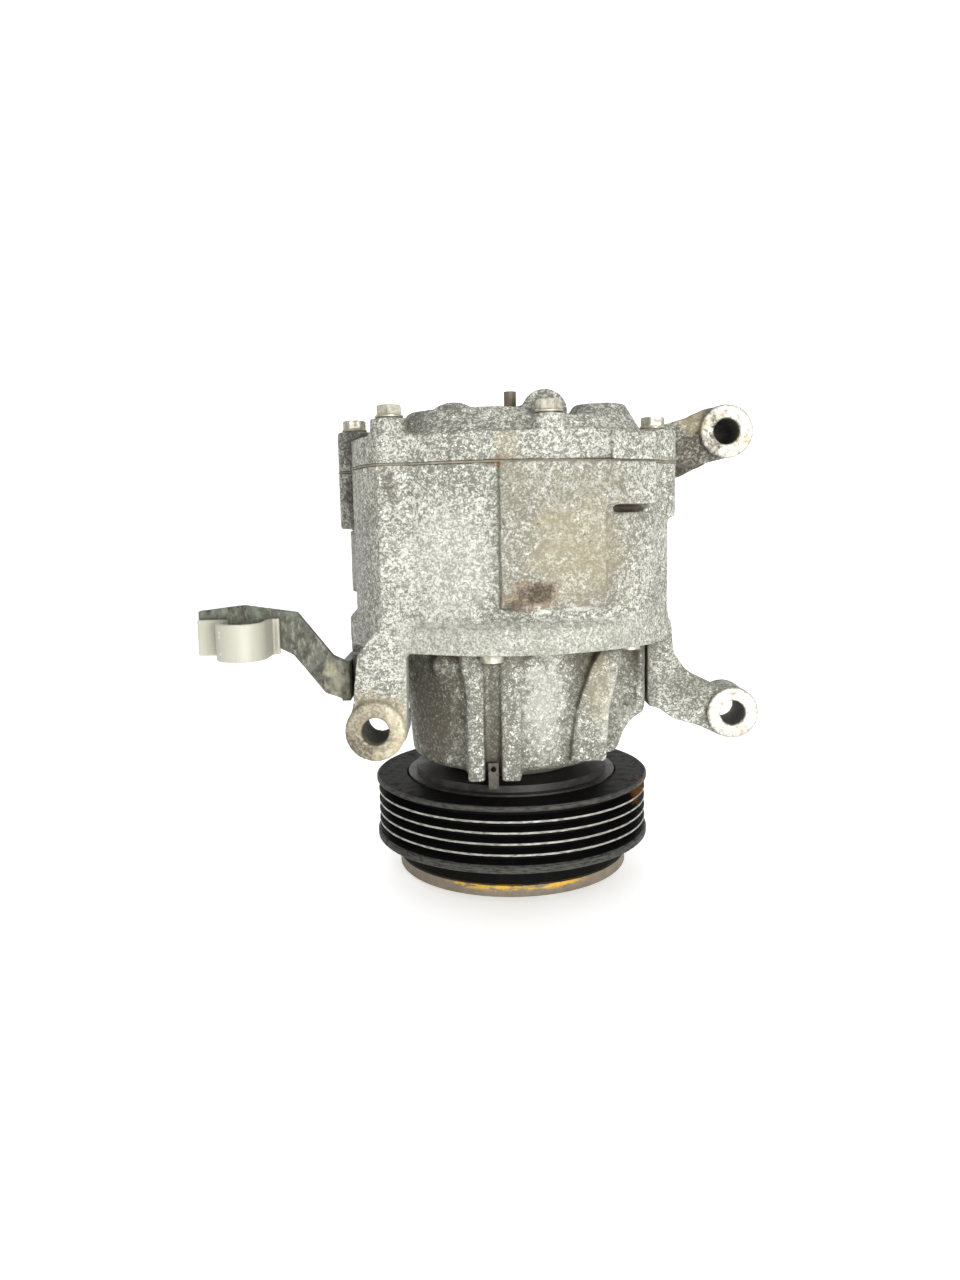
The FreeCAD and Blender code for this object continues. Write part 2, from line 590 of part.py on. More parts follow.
def drive_bush():
    """The bush turns the orbiting scroll and carries the counterweight on its far side."""
    hole = cylinder("pin_radius + 0.02", "bush_top", ("crank_radius", "0", "crank_disc_top"))
    bush = cylinder("bush_radius", "bush_top - bush_low - 0.3", ("crank_radius", "0", "bush_low"))
    finish(cut(bush, [hole]), "drive_bush")
    low = "crank_disc_top + 0.15"
    plate_top = "%s + weight_plate" % low
    disc = cylinder("weight_outer", "weight_plate", ("0", "0", low))
    half = block(("weight_outer + 4", "2 * weight_outer", "weight_height + 5"),
                 ("-1 * weight_outer", "-1 * weight_outer", low))
    inside = cylinder("crank_disc_radius - 4", "weight_plate", ("0", "0", low))
    rim = cut(cylinder("weight_outer", "weight_height", ("0", "0", plate_top)),
              [cylinder("weight_inner", "weight_height", ("0", "0", plate_top)),
               block(("weight_outer + 6", "2 * weight_outer", "weight_height"),
                     ("-6", "-1 * weight_outer", plate_top))])
    seat = cylinder("bush_radius + 0.02", "weight_plate", ("crank_radius", "0", low))
    finish(cut(fuse([common(disc, half), rim, inside]), [seat]), "counterweight")


def involute(base, turn, unrolled, level):
    """A point of a circle's involute, by the tangent's direction and the angle of string unrolled."""
    return FreeCAD.Vector(base * (math.cos(turn) + unrolled * math.sin(turn)),
                          base * (math.sin(turn) - unrolled * math.cos(turn)), level)


def wrap_face(thick, turn, level):
    """The flat outline of a spiral wall: two involutes of one circle, joined at both ends."""
    base = measure("wrap_pitch") / (2 * math.pi)
    start, end = measure("wrap_start"), measure("wrap_end")
    steps = 48
    angles = [start + (end - start) * step / steps for step in range(steps + 1)]
    flanks = []
    for side in (1, -1):
        offset = side * thick / (2 * base)
        flanks.append([involute(base, math.radians(turn) + angle, angle + offset, level) for angle in angles])
    edges = []
    for flank in flanks:
        spline = Part.BSplineCurve()
        spline.interpolate(flank)
        edges.append(spline.toShape())
    edges += [Part.makeLine(flanks[0][end], flanks[1][end]) for end in (-1, 0)]
    return Part.Face(Part.Wire(Part.__sortEdges__(edges)))


def shape_feature(label, shape, offset=(0, 0, 0)):
    thing = doc.addObject("Part::Feature", "Piece")
    thing.Shape = shape
    thing.Placement = FreeCAD.Placement(FreeCAD.Vector(*offset), FreeCAD.Rotation())
    return finish(thing, label)


def solid_cylinder(radius, low, high, across=0.0, up=0.0):
    return Part.makeCylinder(radius, high - low, FreeCAD.Vector(across, up, low))


def wrap_solid(turn, low, high, thick="wrap_thick"):
    return wrap_face(measure(thick), turn, low).extrude(FreeCAD.Vector(0, 0, high - low))


def tip_seal(turn, low, high):
    """A narrow strip that follows the middle of a wrap, a little shorter than it."""
    return wrap_solid(turn, low, high, "tip_seal_width")


def orbiting_scroll():
    low, top = measure("orbit_plate_low"), measure("orbit_plate_top")
    tip = top + measure("wrap_height")
    seal_floor = tip - measure("tip_seal_depth")
    hub_bore = measure("bush_radius + needle_play + orbit_bearing_wall")
    body = solid_cylinder(measure("orbit_plate_radius"), low, top)
    body = body.fuse(solid_cylinder(measure("orbit_hub_radius"), measure("orbit_hub_low"), low))
    body = body.fuse(wrap_solid(0, top, tip))
    body = body.cut(solid_cylinder(hub_bore, measure("orbit_hub_low"), low + 2))
    body = body.cut(tip_seal(0, seal_floor, tip))
    ring_top = low + measure("guide_pin_rise") + 0.4
    for across, up in guide_spots():
        body = body.cut(solid_cylinder(measure("guide_ring_outer"), low, ring_top, across, up))
    throw = (measure("crank_radius"), 0, 0)
    shape_feature("orbiting_scroll", body.removeSplitter(), throw)
    shape_feature("orbiting_tip_seal", tip_seal(0, seal_floor + 0.02, tip), throw)


def guide_spots():
    count, circle_radius = round(measure("guide_count")), measure("guide_circle")
    angles = [math.radians(45 + 360 * step / count) for step in range(count)]
    return [(circle_radius * math.cos(angle), circle_radius * math.sin(angle)) for angle in angles]


def fixed_scroll():
    low, top = measure("fixed_plate_low"), measure("fixed_plate_top")
    tip = low - measure("wrap_height")
    seal_roof = tip + measure("tip_seal_depth")
    body = solid_cylinder(measure("fixed_plate_radius"), low, top)
    body = body.fuse(wrap_solid(180, tip, low))
    body = body.cut(solid_cylinder(measure("discharge_radius"), low, top))
    body = body.cut(tip_seal(180, tip, seal_roof))
    across = measure("reed_hinge - reed_root_length + reed_screw_inset")
    body = body.cut(solid_cylinder(measure("reed_screw_radius + 0.02"), low + 2, top, across, 0))
    shape_feature("fixed_scroll", body.removeSplitter())
    shape_feature("fixed_tip_seal", tip_seal(180, tip, seal_roof - 0.02))


def scroll_guides():
    """Pins in the front housing run inside rings in the orbiting scroll and stop it turning."""
    spots = [("guide_circle * cos(45 + %d * 90)" % step, "guide_circle * sin(45 + %d * 90)" % step)
             for step in range(4)]
    pins = [cylinder("guide_pin_radius", "guide_pin_depth + thrust_thick + end_play + guide_pin_rise",
                     spot + ("housing_top - guide_pin_depth",)) for spot in spots]
    finish(group(pins), "guide_pins")
    rings = []
    for across, up in spots:
        at = ("%s + crank_radius" % across, up, "orbit_plate_low")
        whole = cylinder("guide_ring_outer - 0.01", "guide_pin_rise", at)
        rings.append(cut(whole, [cylinder("guide_ring_bore", "guide_pin_rise", at)]))
    finish(group(rings), "guide_rings")
    plate = tube("thrust_plate", "crank_chamber + 0.4", "scroll_chamber - 0.1", "housing_top",
                 "housing_top + thrust_thick")
    holes = [("guide_pin_radius + 0.1",) + spot for spot in spots]
    drill(plate, holes, "housing_top", "thrust_thick")


def orbit_bearing():
    inner = "bush_radius + needle_play"
    at = ("crank_radius", "0", "orbit_hub_low + 0.5")
    height = "orbit_plate_low - orbit_hub_low - 0.5"
    whole = cylinder("%s + orbit_bearing_wall - 0.01" % inner, height, at)
    finish(cut(whole, [cylinder(inner, height, at)]), "orbit_bearing")


def discharge_valve():
    """A flexing reed over the discharge port, under a sloping stop, its root held by one screw."""
    low = "fixed_plate_top + 0.02"
    screw = "reed_hinge - reed_root_length + reed_screw_inset"
    root = block(("reed_root_length", "reed_width", "reed_thick"),
                 ("reed_hinge - reed_root_length", "-1 * reed_width / 2", low))
    finish(cut(root, [cylinder("reed_screw_radius + 0.2", "reed_thick", (screw, "0", low))]), "reed_root")
    flap = block(("reed_tip - reed_hinge - fit_play", "reed_width", "reed_thick"),
                 ("reed_hinge + fit_play", "-1 * reed_width / 2", low))
    finish(flap, "discharge_reed")
    top = "%s + reed_thick + 0.02" % low
    stop = prism([("reed_hinge - reed_root_length", top), ("reed_hinge", top),
                  ("reed_tip", "%s + stop_lift" % top), ("reed_tip", "%s + stop_lift + stop_thick" % top),
                  ("reed_hinge", "%s + stop_thick" % top),
                  ("reed_hinge - reed_root_length", "%s + stop_thick" % top)],
                 "reed_width", "reed_width / 2", "xz")
    finish(cut(stop, [cylinder("reed_screw_radius + 0.2", "20", (screw, "0", low))]), "reed_stop")
    screw_low = "fixed_plate_low + 2.5"
    shank_length = "%s + stop_thick - (%s)" % (top, screw_low)
    shank = cylinder("reed_screw_radius", shank_length, (screw, "0", screw_low))
    head = cylinder("reed_screw_radius * 1.8", "2.4", (screw, "0", "%s + stop_thick" % top))
    finish(fuse([shank, head]), "reed_screw")


# Castings ---------------------------------------------------------------------------------------

def front_screw_spots():
    return around("front_screw_count", "front_screw_circle", "front_screw_phase")


def front_housing():
    """Nose for the pulley and coil, tapered drum with its ribs, and the spigot in the shell."""
    centre = ("0", "0")
    solid = [
        cylinder("nose_radius", "bearing_high - nose_tip", centre + ("nose_tip",)),
        cylinder("nose_shoulder_radius", "coil_seat - bearing_high", centre + ("bearing_high",)),
        cylinder("coil_seat_radius", "drum_low - coil_seat + 1", centre + ("coil_seat",)),
        cone("drum_low_radius - drum_round / 2", "drum_low_radius", "drum_round / 2", centre + ("drum_low",)),
        cone("drum_low_radius", "drum_high_radius", "spigot_low - drum_low - drum_round / 2",
             centre + ("drum_low + drum_round / 2",)),
        cylinder("spigot_radius", "housing_top - spigot_low", centre + ("spigot_low",)),
        rib("-1 * rib_one_left", "-1 * rib_one_right"),
        rib("-1 * rib_two_left", "rib_two_right"),
        rib_flare(), drum_flare(), right_lobe()] + round_marks()
    cavity_low = "drum_low + drum_floor"
    bearing_shelf = "main_bearing_low - 4"
    bore_top = "needle_low + needle_length + 0.6"
    hollow = [
        cylinder("seal_bore", "%s - nose_tip" % bore_top, centre + ("nose_tip",)),
        cylinder("journal_radius + 1", "%s - needle_low" % cavity_low, centre + ("needle_low",)),
        cylinder("drum_cavity", "%s - (%s)" % (bearing_shelf, cavity_low), centre + (cavity_low,)),
        cylinder("main_bearing_radius - 3.3", "6", centre + ("%s - 1" % bearing_shelf,)),
        cylinder("main_bearing_radius", "main_bearing_width", centre + ("main_bearing_low",)),
        cylinder("crank_chamber", "housing_top - main_bearing_high", centre + ("main_bearing_high",)),
        clip_channel("nose_radius - clip_groove", "nose_radius + 3", "bearing_low - clip_thick - 0.04"),
        clip_channel("nose_shoulder_radius - clip_groove", "nose_shoulder_radius + 1.9",
                     "coil_plate_low - clip_thick - 0.04"),
        cylinder("seal_bore + clip_groove", "clip_thick + 0.04", centre + ("seal_low - clip_thick - 0.04",))]
    for across, up in front_screw_spots():
        hollow.append(cylinder("front_screw_radius + hole_play", "20", (across, up, "spigot_low - 1")))
        hollow.append(cylinder("front_screw_head + hole_play", "24", (across, up, "spigot_low - 24")))
    for step in range(4):
        hollow.append(cylinder("guide_pin_radius + 0.01", "guide_pin_depth", (
            "guide_circle * cos(45 + %d * 90)" % step, "guide_circle * sin(45 + %d * 90)" % step,
            "housing_top - guide_pin_depth")))
    finish(cut(fuse(solid), hollow), "front_housing")


def clip_channel(inner, outer, low):
    """A ring of space for a retaining ring in an outside groove."""
    at = ("0", "0", low)
    return cut(cylinder(outer, "clip_thick + 0.04", at), [cylinder(inner, "clip_thick + 0.04", at)])


def rib(left, right):
    """An upright rib on the drum's front, flared a little towards the flange."""
    return prism([(left, "-24"), (left, "-1 * rib_front + 0.8"), ("%s + 0.8" % left, "-1 * rib_front"),
                  ("%s - 0.8" % right, "-1 * rib_front"), (right, "-1 * rib_front + 0.8"), (right, "-24")],
                 "spigot_low + 1 - rib_low", "rib_low")


def rib_flare():
    """The left rib widens to its left where it meets the flange."""
    left = "-1 * rib_one_left"
    return prism([("%s - 5" % left, "spigot_low + 0.5"), ("%s - 2.2" % left, "spigot_low - 4"),
                  (left, "spigot_low - 16"), ("%s + 2" % left, "spigot_low - 16"),
                  ("%s + 2" % left, "spigot_low + 0.5")], "rib_front - 24.8", "-24", "xz")


def drum_flare():
    """A broad rib that leans out to the right from the drum's foot to the flange."""
    sweep = prism([("18", "drum_low + 3"), ("20", "drum_low + 20"), ("25", "spigot_low - 8"),
                   ("30", "spigot_low"), ("35", "spigot_low"), ("34", "spigot_low - 10"),
                   ("31", "drum_low + 20"), ("30", "drum_low + 3")], "flare_front - 16", "-16", "xz")
    return common(sweep, cylinder("spigot_radius", "spigot_low - drum_low", ("0", "0", "drum_low")))


def right_lobe():
    """The web that carries the drum out to the flange under the right-hand ear."""
    web = prism([("20", "drum_low + 2"), ("drum_low_radius - 1", "drum_low + 2"),
                  ("drum_low_radius + 1.5", "drum_low + 4"), ("drum_low_radius + 3.5", "drum_low + 10"),
                  ("lobe_right - 5", "lobe_low - 2.5"), ("lobe_right", "lobe_low"),
                  ("lobe_right", "spigot_low"), ("20", "spigot_low")], "34", "16", "xz")
    return common(web, cylinder("spigot_radius", "spigot_low - drum_low", ("0", "0", "drum_low")))


def round_marks():
    """Low round bosses on the drum just under the flange."""
    marks = []
    for across in ("-21.5", "6", "32"):
        depth = "sqrt(drum_high_radius ^ 2 - (%s) ^ 2) + round_mark_height" % across
        marks.append(cylinder("round_mark_radius", "8", (across, "-1 * %s" % depth, "spigot_low - 8"), "y"))
    return marks


def casing_section(low, height):
    """The outline that the centre housing, gasket and rear cover share."""
    frame = [("-1 * pillar_left", "-1 * pillar_front"), ("-1 * pillar_right", "-1 * pillar_front"),
             ("-28", "-30"), ("30", "-30"), ("corner_right", "-1 * corner_front"),
             ("shell_right", "-1 * corner_front + 13"), ("shell_right", "25"), ("30", "42"), ("-25", "45"),
             ("-44", "30"), ("-1 * shell_left", "15"), ("-1 * shell_left", "-20"), ("-46", "-34")]
    pieces = [cylinder("shell_radius", height, ("0", "0", low)), prism(frame, height, low),
              front_face("0", "-1 * pillar_right - 1", "corner_right", low, height)]
    for across, up, top, radius in COVER_SCREWS:
        pieces.append(cylinder(radius, height, (across, up, low)))
    return pieces


def front_face(proud, left, right, low, height):
    """A slice of the wide arc that the casing's front follows."""
    arc = cylinder("front_arc + %s" % proud, height, ("0", "front_arc_centre", low))
    return common(arc, block(("%s - (%s)" % (right, left), "50", height), (left, "-75", low)))


def flat_pad():
    """The flat raised panel on the front, tangent to the front arc and turned to the right."""
    def corner(along, out):
        return ("(front_arc + %s) * sin(pad_turn) + (%s) * cos(pad_turn)" % (out, along),
                "front_arc_centre - (front_arc + %s) * cos(pad_turn) + (%s) * sin(pad_turn)" % (out, along))
    half = "pad_width / 2"
    corners = [corner("-1 * %s" % half, "pad_proud"), corner(half, "pad_proud"),
               corner(half, "-8"), corner("-1 * %s" % half, "-8")]
    return prism(corners, "shell_top - pad_low", "pad_low")


def left_leg():
    """The leg that carries the left-hand ear down beside the drum."""
    corners = [("-33", "ear_left_z - 3"), ("-32.4", "shell_low + 8"), ("-40", "band_top"), ("-48", "shell_low"),
               ("-50", "ear_left_z + 6"), ("-46", "ear_left_z - 3")]
    return prism(corners, "pillar_front - 26", "-26", "xz")


def right_arm():
    """The arm from the flange band down to the right-hand ear."""
    corners = [("40", "shell_low"), ("45", "shell_low - 13"), ("47.3", "ear_right_z + 2.3"),
               ("51", "ear_right_z + 1.3"), ("56", "ear_right_z - 2.3"), ("ear_right_x - 11", "ear_right_z - 5"),
               ("ear_right_x - 4", "ear_right_z - ear_right_radius + 0.4"),
               ("ear_right_x - 4", "ear_right_z + ear_right_radius - 0.4"), ("64.5", "shell_low - 15"),
               ("59.8", "shell_low - 11.5"), ("56.3", "shell_low - 6.2"), ("55.2", "band_top - 5"),
               ("40", "band_top - 2")]
    return prism(corners, "arm_depth - 2", "ear_right_front + arm_depth", "xz")


def ear(across, up, front, radius, length):
    return cylinder(radius, length, (across, front, up), "y")


def ear_hole(across, up, front, length):
    return cylinder("ear_bore", "%s + 2" % length, (across, "%s - 1" % front, up), "y")


def centre_housing():
    height = "shell_top - shell_low"
    solid = casing_section("shell_low", height)[:3]
    solid += [cylinder("band_radius", "band_top - shell_low - 2", ("0", "0", "shell_low")),
              cone("band_radius", "shell_radius", "4", ("0", "0", "band_top - 2")),
              flat_pad(), left_leg(), right_arm(),
              front_face("1.8", "slot_left", "corner_right + 1.2", "shell_top - boss_drop", "boss_drop"),
              block(("12", "30", "left_pad_top - left_pad_low"), ("-1 * left_pad_reach", "-8", "left_pad_low")),
              block(("10", "26", "foot_pad_top - foot_pad_low"), ("-1 * foot_pad_reach", "-18", "foot_pad_low")),
              ear("ear_left_x", "ear_left_z", "ear_left_front", "ear_left_radius", "ear_left_length"),
              ear("ear_right_x", "ear_right_z", "ear_right_front", "ear_right_radius", "ear_right_length")]
    for across, up, top, radius in COVER_SCREWS:
        drop = "left_boss_drop" if across == COVER_SCREWS[0][0] else "boss_drop + 4"
        solid.append(cylinder(radius, drop, (across, up, "shell_top - (%s)" % drop)))
    hollow = [block(("corner_right - slot_left - 3.5", "12", "slot_height"),
                    ("slot_left + 3.5", "-1 * slot_floor - 12", "shell_top - boss_drop - slot_height")),
              cylinder("skirt_bore", "housing_top - shell_low", ("0", "0", "shell_low")),
              cylinder("skirt_bore", "20", ("0", "0", "shell_low - 20")),
              cylinder("scroll_chamber", height, ("0", "0", "shell_low + 1")),
              cylinder("fixed_plate_radius + 0.02", "30", ("0", "0", "fixed_plate_low")),
              ear_hole("ear_left_x", "ear_left_z", "ear_left_front", "ear_left_length"),
              ear_hole("ear_right_x", "ear_right_z", "ear_right_front", "ear_right_length"),
              cylinder("screw_radius + 0.02", "20", ("-1 * foot_pad_reach", "-6", "foot_pad_low + 6.5"), "x")]
    for across, up, top, radius in COVER_SCREWS:
        hollow.append(cylinder("screw_radius + 0.02", "screw_grip + 1",
                               (across, up, "shell_top - screw_grip - 1")))
    for across, up in front_screw_spots():
        hollow.append(cylinder("front_screw_radius + 0.02", "front_screw_length - 4",
                               (across, up, "housing_top")))
    finish(cut(fuse(solid), hollow), "centre_housing")


def rear_gasket():
    hollow = [cylinder("fixed_plate_radius + 0.6", "gasket_thick", ("0", "0", "shell_top"))]
    for across, up, top, radius in COVER_SCREWS:
        hollow.append(cylinder("screw_radius + hole_play", "gasket_thick", (across, up, "shell_top")))
    finish(cut(fuse(casing_section("shell_top", "gasket_thick")), hollow), "rear_gasket")


def cover_bosses():
    """Bosses that stand on the cover: domes, pipe bosses, the seats of its screws and fittings."""
    height = "cover_top - cover_low"
    rise = "dome_top - cover_top"
    port_reach = "port_back - port_front"
    bosses = [
        cylinder("shell_radius - 9", "3.5", ("0", "0", "cover_top")),
        cone("dome_radius + 2", "dome_radius - 4", rise, ("-8", "-20", "cover_top")),
        cone("dome_radius - 9", "dome_radius - 14", rise, ("-1", "-27", "cover_top")),
        cone("dome_radius", "dome_radius - 3", "%s - 2.8" % rise, ("13", "-21", "cover_top")),
        cone("lobe_radius + 2", "lobe_radius - 3", "lobe_top - cover_top", ("28", "-31", "cover_top")),
        front_face("1.8", "30", "corner_right + 1.2", "cover_low", height),
        cylinder("port_radius", port_reach, ("port_offset", "port_front", "port_height"), "y"),
        cylinder("suction_radius", "port_back - 14", ("suction_offset", "14", "suction_height"), "y"),
        block(("port_offset - suction_offset + 6", "port_block", "port_height - cover_low"),
              ("suction_offset - 3", "port_back - port_block", "cover_low")),
        block(("2 * port_radius - 3", port_reach, "port_height - cover_top"),
              ("port_offset - port_radius + 1.5", "port_front", "cover_top")),
        cylinder("stub_radius + 2", "14", ("2.4", "20", "cover_top")),
        cylinder("relief_hex + 2", "16", ("relief_x", "30", "relief_z"), "y")]
    for across, up, top, radius in COVER_SCREWS:
        bosses.append(cylinder(radius, "%s - cover_low" % top, (across, up, "cover_low")))
    return bosses


def cover_spigot():
    """A short ring that locates the cover in the shell and presses on the fixed scroll."""
    low = ("0", "0", "fixed_plate_top + 0.02")
    height = "cover_low - fixed_plate_top"
    return cut(cylinder("fixed_plate_radius - 0.1", height, low),
               [cylinder("fixed_plate_radius - 5", height, low)])


def cover_hollows():
    """Discharge chamber, ports, and the holes for screws and fittings."""
    discharge = ("port_offset", "port_back - port_depth", "port_height")
    suction = ("suction_offset", "port_back - port_depth", "suction_height")
    screw = ("port_screw_offset", "port_back - port_screw_depth", "port_screw_height")
    dome_depth = "dome_top - cover_wall - cover_top + 4"
    hollows = [
        cylinder("fixed_plate_radius - 5", "cover_top - 3 - fixed_plate_top", ("0", "0", "fixed_plate_top - 1")),
        cylinder("dome_radius - 9", dome_depth, ("-8", "-16", "cover_top - 4")),
        ear_hole("ear_top_x", "ear_top_z", "ear_right_front", "ear_top_length"),
        cylinder("port_bore", "port_depth + 1", discharge, "y"),
        cylinder("suction_bore", "port_depth + 1", suction, "y"),
        cylinder("4", "port_height - cover_top + 6", ("port_offset", "30", "cover_top - 6")),
        cylinder("port_screw_radius", "port_screw_depth + 4", screw, "y"),
        cylinder("stub_radius + 0.02", "25", ("2.4", "20", "cover_top + 2")),
        cylinder("relief_hex - 1 + 0.02", "10", ("relief_x", "37", "relief_z"), "y")]
    for across, up, top, radius in COVER_SCREWS:
        hollows.append(cylinder("screw_radius + hole_play", "30", (across, up, "cover_low - 1")))
    return hollows


def rear_housing():
    """The cover with its domes, ports and the long upper ear."""
    upper_ear = ear("ear_top_x", "ear_top_z", "ear_right_front", "ear_top_radius", "ear_top_length")
    solid = casing_section("cover_low", "cover_top - cover_low")[:3] + cover_bosses()
    solid += [upper_arm(), upper_ear, cover_spigot()]
    finish(cut(fuse(solid), cover_hollows()), "rear_housing")


def upper_arm():
    corners = [("44", "cover_low"), ("57", "cover_low"), ("63", "cover_low - 0.8"),
               ("ear_top_x", "ear_top_z - ear_top_radius"), ("ear_top_x", "ear_top_z + ear_top_radius"),
               ("ear_top_x - 7", "ear_top_z + ear_top_radius - 1"), ("61", "156"), ("52", "153.5"), ("44", "153")]
    gusset = [("44", "cover_low"), ("55.6", "cover_low"), ("55.6", "cover_low - 4.6"), ("62", "cover_low - 4"),
              ("ear_top_x", "ear_top_z - ear_top_radius"), ("ear_top_x", "ear_top_z - 1"), ("44", "ear_top_z - 1")]
    return fuse([prism(corners, "22", "ear_right_front + 24", "xz"), prism(gusset, "17", "29", "xz")])


# Screws and small pieces ------------------------------------------------------------------------

def hex_screw(across, up, seat, grip):
    """A hexagon screw with a round flange, standing on a seat and reaching down by its grip."""
    shank = cylinder("screw_radius", grip, (across, up, "%s - (%s)" % (seat, grip)))
    flange = cylinder("washer_radius", "washer_thick", (across, up, seat))
    head = hexagon("screw_hex", "screw_head_height", (across, up, "%s + washer_thick" % seat))
    return fuse([shank, flange, head])


def casing_screws():
    rear = [hex_screw(across, up, top, "%s - shell_top + screw_grip" % top)
            for across, up, top, radius in COVER_SCREWS]
    finish(group(rear), "rear_cover_screws")
    front = []
    for across, up in front_screw_spots():
        shank = cylinder("front_screw_radius", "front_screw_length", (across, up, "spigot_low"))
        head = cylinder("front_screw_head", "front_screw_head_height",
                        (across, up, "spigot_low - front_screw_head_height"))
        socket = hexagon("front_screw_head", "2.5", (across, up, "spigot_low - front_screw_head_height"))
        front.append(cut(fuse([shank, head]), [socket]))
    finish(group(front), "front_housing_screws")


def cover_fittings():
    finish(cylinder("stub_radius", "11 + stub_height", ("2.4", "20", "cover_top + 3")), "cover_stud")
    body = cylinder("relief_hex - 1", "8", ("relief_x", "38", "relief_z"), "y")
    head = hexagon("2 * relief_hex + 1", "relief_length - 4", ("relief_x", "46", "relief_z"), "y")
    nose = cylinder("relief_hex - 2", "3", ("relief_x", "42 + relief_length", "relief_z"), "y")
    vent = cylinder("1", "6", ("relief_x", "40 + relief_length", "relief_z"), "y")
    finish(cut(fuse([body, head, nose]), [vent]), "relief_valve")


def bracket():
    """A bent steel arm bolted to the casing's left foot, with a strap clip on its far end."""
    front = "arm_back - arm_thick"
    corners = [("-50.7 - arm_thick", "arm_low"), ("-50.7 - arm_thick", "arm_tab_top"), ("-58.5", "80.1"),
               ("-69.7", "94.5"), ("-87.2", "97.2"), ("-102", "95.5"), ("-102.3", "83.5"), ("-76.5", "83"),
               ("-71.5", "80.5"), ("-68.5", "76.7"), ("-61.4", "67.5")]
    plate = prism(corners, "arm_thick", "arm_back", "xz")
    tab_left = "-1 * foot_pad_reach - arm_thick"
    tab = block(("arm_thick", "arm_tab_depth", "arm_tab_top - arm_low"), (tab_left, front, "arm_low"))
    spot = ("-6", "foot_pad_low + 6.5")
    hole = cylinder("screw_radius + hole_play", "10", ("-1 * foot_pad_reach - 8",) + spot, "x")
    finish(cut(fuse([plate, tab]), [hole]), "bracket_arm")
    shank = cylinder("screw_radius", "arm_thick + 12", (tab_left,) + spot, "x")
    flange = cylinder("washer_radius", "washer_thick", (tab_left,) + spot, "-x")
    head = hexagon("screw_hex", "screw_head_height", ("%s - washer_thick" % tab_left,) + spot, "-x")
    finish(fuse([shank, flange, head]), "bracket_bolt")
    strap_back = "%s - 0.02" % front
    finish(strap_clip(strap_back), "harness_clip")


def strap_clip(back):
    """A strap bent into a U, with a short flange at each end against the arm."""
    inner, outer = "clip_width / 2", "clip_width / 2 + clip_strap"
    round_y = "clip_front + %s" % outer
    level = "clip_low"
    depth = "%s - (%s)" % (back, round_y)
    tails = block(("2 * (%s) + clip_tail + clip_stub" % outer, "clip_strap", "clip_height"),
                  ("clip_x - (%s) - clip_tail" % outer, "%s - clip_strap" % back, level))
    outside = fuse([cylinder(outer, "clip_height", ("clip_x", round_y, level)), tails,
                    block(("2 * (%s)" % outer, depth, "clip_height"),
                          ("clip_x - (%s)" % outer, round_y, level))])
    inside = [cylinder(inner, "clip_height", ("clip_x", round_y, level)),
              block(("2 * (%s)" % inner, "%s + 1" % depth, "clip_height"),
                    ("clip_x - (%s)" % inner, round_y, level))]
    return cut(outside, inside)


# Whole assembly ---------------------------------------------------------------------------------

def build():
    fill_sheet()
    clutch_hub()
    armature_plate()
    leaf_springs()
    rivets()
    hub_screw()
    pulley_rotor()
    pulley_bearing()
    clutch_clips()
    clutch_coil()
    drive_shaft()
    front_bearing()
    main_bearing()
    shaft_seal()
    drive_bush()
    orbiting_scroll()
    fixed_scroll()
    scroll_guides()
    orbit_bearing()
    discharge_valve()
    front_housing()
    centre_housing()
    rear_gasket()
    rear_housing()
    casing_screws()
    cover_fittings()
    bracket()
    doc.recompute()


def check_and_write():
    """Stops at a failed object or a bad shape, then writes one file for each piece."""
    for thing in doc.Objects:
        if "Invalid" in thing.State or "Error" in thing.State:
            raise RuntimeError("%s (%s) failed: %s" % (thing.Name, thing.Label, thing.State))
    for thing in finished:
        if thing.Shape.isNull() or not thing.Shape.isValid() or not thing.Shape.Solids:
            raise RuntimeError("%s has a bad shape" % thing.Label)
    os.makedirs("parts", exist_ok=True)
    for thing in finished:
        thing.Shape.exportStep("parts/%s.step" % thing.Label)
        print("%-28s %2d solids %10.1f mm3" % (thing.Label, len(thing.Shape.Solids), thing.Shape.Volume))


build()
check_and_write()
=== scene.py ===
import json
import math

import bmesh
import bpy
import numpy as np
from mathutils import Matrix, Vector, noise


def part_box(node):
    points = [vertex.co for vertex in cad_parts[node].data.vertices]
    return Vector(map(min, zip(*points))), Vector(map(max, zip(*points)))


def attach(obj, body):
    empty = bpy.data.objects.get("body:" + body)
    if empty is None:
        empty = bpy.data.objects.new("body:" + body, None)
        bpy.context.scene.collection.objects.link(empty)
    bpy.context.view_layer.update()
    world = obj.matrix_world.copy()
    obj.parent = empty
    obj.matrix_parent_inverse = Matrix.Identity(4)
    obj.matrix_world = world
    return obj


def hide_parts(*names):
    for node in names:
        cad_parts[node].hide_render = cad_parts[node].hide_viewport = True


bl_info = {
    "name": "Weathered Scroll Compressor",
    "version": (1, 0, 0),
    "blender": (4, 5, 0),
    "location": "View3D > Sidebar > Compressor",
    "description": "Finishes a car's scroll compressor: castings, pulley, clutch, screws and bracket",
    "category": "Object",
}

